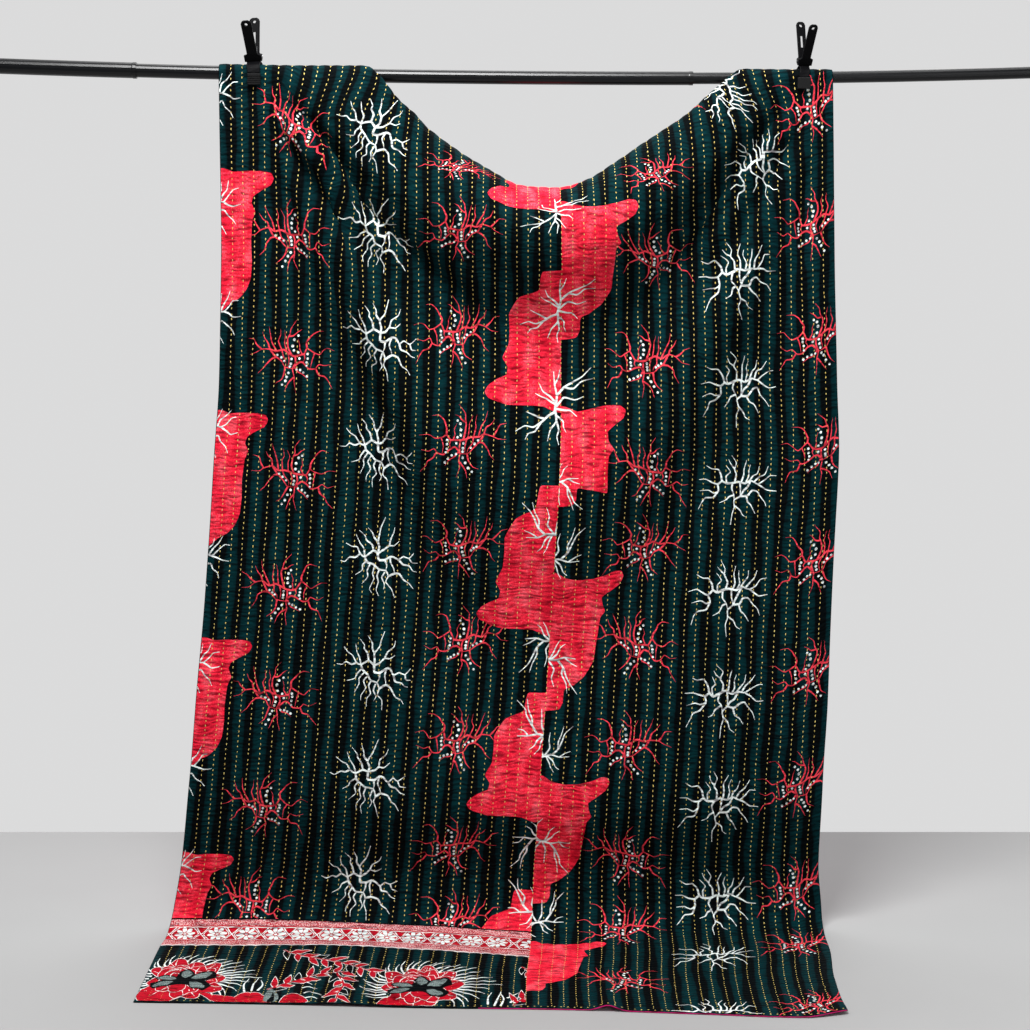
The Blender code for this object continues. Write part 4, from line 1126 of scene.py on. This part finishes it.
def red_shape(outline, border, px, top, bottom, wide, tall=0.28):
    """A border shape between two pixel heights. With one of them, it is tall metres long.

    border is the side of the cloth that it lies on, the column that it starts from, whether it
    runs left from there, and where the print ends.
    """
    side, first, turned, lowest = border
    end = cloth.find(px, bottom)[1] if bottom else 0.0
    start = cloth.find(px, top)[1] if top else end + tall
    if not bottom:
        end = start - tall
    p = closed(outline, 4.0, 0.22)
    x = p[:, 0] * wide * 0.001 / NODE_WIDTH
    y = start + p[:, 1] / -float(outline[-1][1]) * (start - end)
    spots = np.stack([first - x if turned else first + x, y], -1)
    fill_shape(red, spots, RED_LIFT, side, lowest)


EDGE_BORDER = (LEFT, 0.0, False, BAND_MIDDLE)
LEFT_OF_SEAM = (LEFT, float(SEAM), True, BAND_MIDDLE)
RIGHT_OF_SEAM = (RIGHT, float(SEAM), False, PRINT_END)
# Each row: outline, border, pixel across, pixel heights, share of the width, and any length.
for row in (
    (RED_EDGE, EDGE_BORDER, 224, 174, 309, 1.0),
    (RED_EDGE, EDGE_BORDER, 220, 415, 542, 0.97),
    (RED_EDGE, EDGE_BORDER, 206, 643, 764, 0.95),
    (RED_EDGE, EDGE_BORDER, 186, 856, None, 0.95, 0.25),
    (RED_SEAM_LEFT, LEFT_OF_SEAM, 556, None, 210, 0.96),
    (RED_SEAM_LEFT, LEFT_OF_SEAM, 556, 272, 408, 1.0),
    (RED_SEAM_LEFT, LEFT_OF_SEAM, 549, 486, 631, 0.96),
    (RED_SEAM_LEFT, LEFT_OF_SEAM, 545, 693, 819, 0.92),
    (RED_SEAM_LEFT, LEFT_OF_SEAM, 537, 890, None, 0.92),
    (RED_SEAM_RIGHT, RIGHT_OF_SEAM, 564, None, 189, 0.98),
    (RED_SEAM_RIGHT, RIGHT_OF_SEAM, 564, 204, 341, 0.98),
    (RED_SHORT, RIGHT_OF_SEAM, 561, 408, 507, 1.0),
    (RED_SEAM_RIGHT, RIGHT_OF_SEAM, 556, 577, 712, 0.88),
    (RED_SEAM_RIGHT, RIGHT_OF_SEAM, 548, 779, 905, 0.86),
    (RED_SEAM_RIGHT, RIGHT_OF_SEAM, 540, 943, None, 0.90),
):
    red_shape(*row)

# ---- the border band
DAISY_HEIGHT = 0.56  # as a share of the band's width, as all heights on it


def level_line(spots):
    """Distance from the hem against the column, through pixels of the photograph."""
    return np.array(sorted(cloth.find(px, py) for px, py in spots)).T


band_low = level_line(((160, 945.5), (250, 945.5), (340, 946.0), (440, 950.5), (534, 958)))
band_high = level_line(((163, 918), (250, 919.5), (340, 921.7), (440, 926.0), (535, 933)))


def band_height(node, share):
    """Distance from the hem at a share of the band's width, up from its lower edge."""
    low = np.interp(node, *band_low)
    return low + share * (np.interp(node, *band_high) - low)


band_nodes = np.arange(0, SEAM + 1, 2, dtype=float)
for strip, low, high in (
    (pink, 0.00, 0.27), (deep_red, 0.27, 0.85), (pink, 0.85, 1.00), (black, 1.00, 1.035),
):
    lower, upper = ([(c, band_height(c, share)) for c in band_nodes] for share in (low, high))
    fill_shape(strip, lower + upper[::-1], BAND_LIFT, LEFT)
flat_pen = Pen(0.0, 0.0)  # for mm on the cloth laid flat
for share, width in ((0.018, 3.6), (0.315, 2.2), (0.805, 2.2)):
    line = np.stack([band_nodes * NODE_WIDTH, band_height(band_nodes, share)], -1) * 1000
    flat_pen.line(white, line, width, ON_BAND_LIFT, 1.0)

# The daisies' pixels, and a petal in mm from a daisy's middle.
DAISIES = (
    (186, 932), (217, 932), (246, 932), (275, 932), (304, 932), (331.5, 932), (360, 931.6),
    (388, 932), (414, 935), (443, 938), (470.5, 940), (499, 942), (529, 944),
)
PETAL = ((6, 0), (11, 4.0), (19, 5.4), (25, 2.0), (25, -2.0), (19, -5.4), (11, -4.0))
daisy_nodes = [cloth.find(px, py)[0] for px, py in DAISIES]
for k, node in enumerate(daisy_nodes):
    pen = Pen(node, float(band_height(node, DAISY_HEIGHT)), 7.0 * math.sin(k * 2.1))
    for petal in range(8):
        a = petal * math.pi / 4 + 0.2
        along = np.array([math.cos(a) * 0.86, math.sin(a) * 1.08])
        aside = np.array([-math.sin(a) * 0.86, math.cos(a) * 1.08])
        pen.shape(white, closed([along * x + aside * y for x, y in PETAL], 6.0), ON_BAND_LIFT)
    pen.disc(white, (0, 0), 4.0, DAISY_HEART_LIFT, 6)
# Crosses between the daisies, each line as its width and points in mm and shares of its height.
CROSS = (
    (2.6, (-13, 1), (-5, 0.35), (0, 0)),
    (2.6, (-13, -1), (-5, -0.35), (0, 0)),
    (2.0, (-20, 1), (-10, 0.45), (-6, 0), (-10, -0.45), (-20, -1)),
)
between = [0.5 * (a + b) for a, b in zip(daisy_nodes[:-1], daisy_nodes[1:])]
for node in [daisy_nodes[0] - (between[0] - daisy_nodes[0])] + between:
    height = float(band_height(node, 0.79) - band_height(node, 0.33)) * 1000 / 2
    pen = Pen(node, float(band_height(node, DAISY_HEIGHT)))
    for flip in (1, -1):
        for width, *points in CROSS:
            line = [(x * flip, height * y) for x, y in points]
            pen.line(white, line, width, ON_BAND_LIFT, 0.8)


# ---- the flowers below the band
# A petal's outline: share of its length, and share of its half width without and with the lean.
PETAL_SHAPE = (
    (0, 0, 0), (0.30, 0.85, 0), (0.62, 1, 0), (0.88, 0.55, 1),
    (1, 0, 1), (0.84, -0.62, 1), (0.56, -1, 0), (0.26, -0.8, 0),
)


def petal_shape(angle, inner, outer, half_width, lean):
    """A pointed petal between two distances from a centre, its tip leaning to one side."""
    along = np.array([math.cos(angle), math.sin(angle)])
    aside = np.array([-along[1], along[0]]) * half_width
    return [
        along * (inner + share * (outer - inner)) + aside * (width + leaning * lean)
        for share, width, leaning in PETAL_SHAPE
    ]


def outlined(pen, outline, lift):
    """A deep red shape with a white edge round it."""
    p = closed(outline, 5.0, 0.36)
    pen.shape(white, p + unit(p - p.mean(axis=0)) * 1.3, lift)
    pen.shape(deep_red, p, lift + 0.00006)


# Each ring of petals: how many, inner and outer distance, half width, lift, first angle, veined.
RINGS = (
    (10, 24, 84, 21, 0.00042, 0.1, True),
    (9, 14, 64, 18, 0.00054, 0.45, True),
    (7, 8, 47, 15, 0.00066, 0.2, False),
)
# The rolled petals in the middle: a round with arcs round it, as radius, first and last angle.
ROSE_X, ROSE_Y, ROSE_LIFT, ARC_LIFT = -20, 17, 0.00074, 0.00083
ARCS = ((30, 10, 150), (24, 95, 215), (18, 0, 130), (12, 120, 300), (7, -20, 120))
HEART = (
    (-66, -16), (-40, -2), (-20, 4), (-14, 30), (2, 40), (16, 26), (30, 14), (58, 30),
    (64, 10), (46, -4), (60, -22), (46, -40), (20, -24), (-8, -18), (-34, -26), (-58, -34),
)
HEART_LIFT = 0.00086
# The grey leaves on the heart: angle, inner and outer distance, half width.
HEART_LEAVES = (
    (2.98, 16, 58, 8), (3.52, 22, 66, 8), (-0.62, 16, 56, 11), (0.42, 14, 60, 12),
    (1.50, 6, 36, 12),
)


def filaments(pen, reach):
    """Curved lines round a bloom, clockwise from its lower left, and longer on its right."""
    for k in range(33):
        a = math.radians(218 - k * 8.0)
        right = fade(k, 17, 6) * fade(k, 31, -5)
        start = 74 + 4 * math.sin(k * 1.9)
        longer = 44 * right * (0.75 + 0.25 * math.sin(k * 1.3))
        stop = (114 + 6 * math.sin(k * 2.7) + longer) * reach
        spots = []
        for t in (0.0, 0.35, 0.7, 1.0):
            far, swept = start + (stop - start) * t, a - 0.22 * t * t * (1 - 0.7 * right)
            spots.append((far * math.cos(swept), far * math.sin(swept) * (0.86 - 0.16 * right)))
        pen.line(white, spots, 4.8, UNDER_LIFT, 0.18)


def flower(px, py, reach=1.0, seed=0.0):
    """A full bloom: curved filaments, three rings of petals, and a dark heart with grey leaves."""
    pen = Pen(*cloth.find(px, py), tall=1.42)
    filaments(pen, reach)
    for ring, (count, inner, outer, half, lift, first, veined) in enumerate(RINGS):
        for k in range(count):
            a = first + seed + (k + 0.22 * math.sin(k * 3.1 + ring)) * 2 * math.pi / count
            far = outer * (1 + 0.12 * math.sin(k * 2.3 + ring + seed))
            petal = petal_shape(a, inner, far, half, 0.35 * math.sin(k * 1.7 + ring))
            outlined(pen, petal, lift + 0.000008 * k)
            if veined:
                length = far - inner
                reached = (inner + 0.3 * length, 0.5 * (inner + far), inner + 0.86 * length)
                turned = [(r, a + 0.16 * r / outer) for r in reached]
                vein = [(r * math.cos(t), r * math.sin(t)) for r, t in turned]
                pen.line(white, vein, 3.0, lift + 0.00009 + 0.000008 * k, 0.3)
    rose = []
    for a in np.arange(12) * math.pi / 6:
        wave = 4 * math.sin(5 * a)
        rose.append((ROSE_X + (38 + wave) * math.cos(a), ROSE_Y + (36 + wave) * math.sin(a)))
    outlined(pen, rose, ROSE_LIFT)
    for radius, first, last in ARCS:
        sweep = np.radians(np.linspace(first, last, 7) + 20 * math.sin(seed + radius))
        arc = (ROSE_X + radius * np.cos(sweep), ROSE_Y + radius * 0.95 * np.sin(sweep))
        pen.line(white, np.stack(arc, -1), 3.2, ARC_LIFT, 0.3, 0.4)
    pen.shape(black, closed(HEART, 5.0, 0.3), HEART_LIFT)
    for k, leaf in enumerate(HEART_LEAVES):
        p = closed(petal_shape(*leaf, 0.3), 5.0, 0.12)
        middle = p.mean(axis=0)
        pen.shape(black, (p - middle) * (1.22, 1.34) + middle, 0.00087 + 0.00003 * k)
        pen.shape(grey, p, 0.000886 + 0.00003 * k)


flower(184, 980)
flower(421, 987, 1.05, 0.6)


def on_cloth(spots):
    """Pixels of the photograph as mm on the cloth laid flat."""
    found = (cloth.find(px, py) for px, py in spots)
    return np.array([(c * NODE_WIDTH * 1000, v * 1000) for c, v in found])


# A leaf of a sprig: share of its length, and mm aside. None is its tip.
SPRIG_LEAF = ((0.30, 7.2), (0.62, 5.6), None, (0.66, -5.0), (0.3, -6.4))


def sprig(size, leaves, *spots):
    """A red sprig of pointed leaves with white edges along a line of pixels."""
    line = curve(on_cloth(spots), 3.0)
    flat_pen.line(white, line[::4], 8.0 * size, UNDER_LIFT, 0.5)
    flat_pen.line(deep_red, line[::4], 5.0 * size, STALK_LIFT, 0.5)
    for k in range(leaves):
        at = int((k + 0.4) / leaves * (len(line) - 2))
        along = line[at + 1] - line[at]
        along /= np.linalg.norm(along) + 1e-9
        a = math.atan2(along[1], along[0])
        a += (0.72 if k % 2 else -0.72) * (1 + 0.2 * math.sin(k * 1.3))
        long = (36 + 7 * math.sin(k * 2.1)) * size
        leaf = [(0, 0)] + [(x[0] * long, x[1] * size) if x else (long, 1.0) for x in SPRIG_LEAF]
        c, n = math.cos(a), math.sin(a)
        leaf = np.array([(x * c - y * n, (x * n + y * c) * 1.35) for x, y in leaf]) + line[at]
        p = closed(leaf, 5.0, 0.2)
        middle = p.mean(axis=0)
        step = 0.00002 * (k % 4)
        flat_pen.shape(white, (p - middle) * (1.14, 1.22) + middle, 0.00044 + step)
        flat_pen.shape(deep_red if k % 5 else black, p, 0.00052 + step)


sprig(1.0, 15, (284, 950), (305, 956), (328, 960), (350, 965), (376, 973))
sprig(1.0, 13, (268, 990), (290, 982), (318, 975), (346, 971))
sprig(1.0, 9, (338, 973), (342, 984), (338, 994), (336, 1001))
sprig(0.8, 6, (521, 967), (529, 972), (536, 979))
sprig(0.9, 7, (514, 1006), (524, 999), (534, 994))

# Loose petals, a bud and filaments at the hem, in pixels.
HEM_PETALS = (
    ((232, 1002), (238, 995.5), (248, 992.8), (260, 993.5), (266, 998), (268, 1003), (240, 1004)),
    ((278, 1003), (283, 996), (291, 993.5), (300, 995.5), (306, 1001), (298, 1004.5),
     (282, 1004.5)),
    ((196, 991), (210, 994.5), (224, 996), (238, 998), (232, 1003), (212, 1001)),
    ((134, 996), (144, 989), (158, 990), (172, 994), (168, 1001), (140, 1002)),
    ((376, 1004), (386, 997), (402, 996), (420, 998), (428, 1005), (396, 1006)),
)
for outline in HEM_PETALS:
    outlined(flat_pen, on_cloth(outline), HEM_PETAL_LIFT)
BUD = ((262, 1001), (267, 993), (272, 989), (278, 995), (276, 1001))
BUD_HEART = ((267, 1002), (270, 996), (273, 992), (275, 997), (274, 1002))
flat_pen.shape(grey, closed(on_cloth(BUD), 5.0), 0.00060)
flat_pen.shape(black, closed(on_cloth(BUD_HEART), 5.0), 0.00066)
FILAMENTS = (
    ((243, 992), (245, 985), (249, 979)), ((251, 991), (254, 984), (258, 978)),
    ((258, 991), (261, 985), (260, 980)), ((299, 983), (306, 982), (313, 985)),
    ((301, 988), (309, 987), (318, 989)), ((303, 993), (311, 992), (321, 995)),
    ((305, 998), (312, 997), (318, 999)), ((488, 1005), (489, 998), (492, 993)),
    ((495, 1006), (496, 999), (500, 992)), ((501, 1006), (503, 999), (502, 994)),
    ((511, 1003), (520, 997), (530, 993)), ((508, 998), (515, 994), (522, 992)),
)
for spots in FILAMENTS:
    flat_pen.line(white, on_cloth(spots), 4.6, FILAMENT_LIFT, 0.3)

# Motifs on the top end, which falls behind the swag: column, and distance from the end.
for k, (node, from_end) in enumerate(((102, 0.10), (132, 0.11), (150, 0.10))):
    from_hem = float(cloth.from_hem[0, node]) - from_end
    draw_white(Pen(node, from_hem, scale=0.9, side=BOTH), k + 0.3)
for k, (node, from_end) in enumerate(((86, 0.08), (118, 0.11), (166, 0.08))):
    from_hem = float(cloth.from_hem[0, node]) - from_end
    draw_red(Pen(node, from_hem, scale=0.85, side=LEFT if node < SEAM else RIGHT), k + 0.7)

printed = [p.make() for p in (white, red_twigs, dots, red, pink, black, grey, deep_red)]

# ---- running stitches
# A stitch in mm: six corners on the cloth, and the two ends of its ridge.
BEAD = np.array([
    (-0.9, -1.3, 0.10), (0.0, -2.6, 0.10), (0.9, -1.3, 0.10), (0.9, 1.3, 0.10),
    (0.0, 2.6, 0.10), (-0.9, 1.3, 0.10), (0.0, -1.2, 0.85), (0.0, 1.2, 0.85),
])
BEAD_FACES = ((0, 1, 6), (1, 2, 6), (2, 3, 7, 6), (3, 4, 7), (4, 5, 7), (5, 0, 6, 7))
BEAD_CLEAR = 0.0001
BEAD_TURN, BEAD_LENGTHS, BEAD_WIDTHS = 0.07, (0.82, 1.16), (0.85, 1.15)  # how beads vary
LYING_END = 0.5  # below this distance from the hem the cloth lies, and the stitches are flatter
LYING_LENGTH, LYING_HEIGHT = 0.82, 0.7
PITCH_VARIES, COLUMN_VARIES = 0.0007, 0.05
FIRST_STITCH, LAST_STITCH = 0.012, 0.006  # distances from the hem and from the top end
HEM_ROW, HEM_PITCH = 0.0085, 0.0132
BEHIND_END = 0.52  # no stitch shows under the part that lies on the floor


def beads(name, node, from_hem, turn, length, seed, behind=False):
    """One raised stitch at each place, turned by an angle from the line of the cloth's length."""
    random = np.random.RandomState(seed)
    count = len(node)
    turn = (turn + random.normal(0, BEAD_TURN, count))[:, None]
    size = length * random.uniform(*BEAD_LENGTHS, count)
    lying = from_hem < LYING_END
    size = (size * np.where(lying, LYING_LENGTH, 1.0))[:, None]
    wide = random.uniform(*BEAD_WIDTHS, count)[:, None]
    x, y = BEAD[None, :, 0] * wide, BEAD[None, :, 1] * size
    across = (x * np.cos(turn) - y * np.sin(turn)) * 0.001
    along = (x * np.sin(turn) + y * np.cos(turn)) * 0.001
    n = (node[:, None] + across / NODE_WIDTH).ravel()
    v = (from_hem[:, None] + along).ravel()
    height = BEAD[None, :, 2] * 0.001 * np.where(lying, LYING_HEIGHT, 1.0)[:, None]
    lift = (height + BEAD_CLEAR).ravel()
    points = cloth.at(n, v, -lift if behind else lift)
    if behind:
        points = points - through_cloth(n, v)
    corners = len(BEAD)
    faces = [tuple(corners * k + i for i in face) for k in range(count) for face in BEAD_FACES]
    faces = [face[::-1] for face in faces] if behind else faces
    return cloth_piece(name, points, faces, THREAD, np.stack([n, v], -1))


def through_cloth(node, from_hem):
    """How far the lining's side lies behind the printed face, as vectors."""
    column = np.clip(np.round(node), 0, NODES - 1).astype(int)
    row = np.clip(np.round(cloth.row_of(column, from_hem)), 0, LAST_ROW).astype(int)
    return cloth.front[row, column] - back[row, column]


def stitch_places(lines, offset, seed):
    """Columns and distances from the hem of the stitches of the given lines."""
    random = np.random.RandomState(seed)
    node, from_hem = [], []
    for line in lines:
        length = cloth.from_hem[0, line * PER_CHANNEL]
        first = offset + line_start(line)
        v = (np.arange(0, int(length / STITCH_PITCH)) + first) * STITCH_PITCH
        v = v + random.normal(0, PITCH_VARIES, len(v))
        v = v[(v > FIRST_STITCH) & (v < length - LAST_STITCH)]
        node.append(line * PER_CHANNEL + random.normal(0, COLUMN_VARIES, len(v)))
        from_hem.append(v)
    return np.concatenate(node), np.concatenate(from_hem)


stitches = [
    beads(f"stitches_{name}", *stitch_places(lines, 0.0, seed), 0.0, 1.0, seed)
    for name, lines, seed in (("left", range(1, 32), 21), ("right", range(32, CHANNELS), 22))
]
hem_count = int(QUILT_WIDTH / HEM_PITCH)
hem_node = (np.arange(hem_count) + 0.5) / hem_count * (NODES - 1)
hem_row = np.full(hem_count, HEM_ROW)
stitches.append(beads("stitches_hem", hem_node, hem_row, math.pi / 2, 0.95, 25))
node, from_hem = stitch_places(range(1, CHANNELS), 0.5, 23)
shown = from_hem > BEHIND_END
stitches_back = beads("stitches_behind", node[shown], from_hem[shown], 0.0, 0.8, 24, behind=True)

# ---- the rod and the clamps
BETTER = {
    "black_paint": plain_material(
        "rod_paint", shades((0.3, 5, 6, 8), (0.7, 10, 11, 13)), 0.30, 900.0,
        bump=0.00003, specular=0.3,
    ),
    "black_plastic": plain_material(
        "clamp_plastic", shades((0.3, 6, 6, 8), (0.7, 12, 12, 14)), 0.55, 1400.0,
        bump=0.00004, specular=0.05,
    ),
    "black_rubber": plain_material(
        "clamp_rubber", shades((0.3, 8, 8, 9), (0.7, 15, 15, 16)), 0.66, 1100.0,
        bump=0.00006, specular=0.2,
    ),
    "spring_steel": plain_material(
        "spring_steel_worn", shades((0.3, 120, 120, 122), (0.7, 172, 172, 174)), 0.34, 700.0,
        metallic=1.0,
    ),
}
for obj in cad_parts.values():
    for slot in obj.material_slots:
        if slot.material:
            slot.material = BETTER.get(slot.material.name.split(".")[0], slot.material)

# ---- the frame's facts
quilt_pieces = [panel_left, panel_right, lining, *edges, *printed, *stitches, stitches_back]
for piece in quilt_pieces:
    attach(piece, "root")
    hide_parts("quilt")

# ---- floor and light
# The floor ends where its line, seen by the camera, matches the foot of the photograph's wall.
FLOOR_SIDE, FLOOR_FRONT, FLOOR_BACK = 9, -7, 0.92
floor_mesh = bpy.data.meshes.new("floor")
floor_corners = [
    (-FLOOR_SIDE, FLOOR_FRONT, 0), (FLOOR_SIDE, FLOOR_FRONT, 0),
    (FLOOR_SIDE, FLOOR_BACK, 0), (-FLOOR_SIDE, FLOOR_BACK, 0),
]
floor_mesh.from_pydata(floor_corners, [], [(0, 1, 2, 3)])
floor_mesh.materials.append(plain_material(
    "floor_pale", shades((0.2, 155, 155, 155), (0.8, 161, 161, 161)), 0.7, 1.2, specular=0.3
))
floor = put("floor", floor_mesh)


def area_light(name, place, target, size, power):
    data = bpy.data.lights.new(name, "AREA")
    data.shape = "RECTANGLE"
    data.size, data.size_y = size
    data.energy = power
    light = put(name, data)
    light.location = place
    aim = np.asarray(target, float) - np.asarray(place, float)
    yaw = math.atan2(aim[0], aim[1])
    pitch = math.atan2(aim[2], math.hypot(aim[0], aim[1]))
    light.rotation_euler = (math.pi / 2 + pitch, 0.0, -yaw)


area_light("key", (-0.5, -1.4, 4.4), (0.0, 0.15, 1.0), (1.5, 0.9), 226.0)
area_light("fill", (2.2, -4.4, 2.0), (0.0, 0.2, 0.9), (2.4, 2.4), 62.0)
area_light("top", (0.3, 1.3, 4.4), (0.1, 0.5, 0.0), (3.4, 1.6), 70.0)
area_light("behind", (0.8, 4.2, 2.8), (0.0, 0.2, 1.0), (3.0, 2.0), 22.0)

# A pale studio: its light is brighter behind the object than in front of it, and the camera
# sees it as an even backdrop.
IN_FRONT, BEHIND, BACKDROP = (0.11, 0.11, 0.112), (0.765, 0.765, 0.77), (0.71, 0.71, 0.712)
world = bpy.data.worlds.new("studio")
world.use_nodes = True
tree = world.node_tree
direction = add_node(tree, "TexCoord").outputs["Generated"]
share = add_node(
    tree, "MapRange", {"Value": split(tree, direction)[1], "From Min": -0.6, "From Max": 0.6},
    interpolation_type="SMOOTHSTEP",
)
seen = add_node(tree, "LightPath").outputs["Is Camera Ray"]
light = ramp(Number(share.outputs["Result"]), ((0.0, IN_FRONT), (1.0, BEHIND)))
sides = {"Factor": seen, "A": light, "B": (*BACKDROP, 1.0)}
backdrop = add_node(tree, "Mix", sides, data_type="RGBA")
feed(tree.nodes["Background"].inputs["Color"], backdrop.outputs["Result"])
feed(tree.nodes["Background"].inputs["Strength"], 1.0)
bpy.context.scene.world = world
bpy.context.scene.view_settings.view_transform = "Standard"
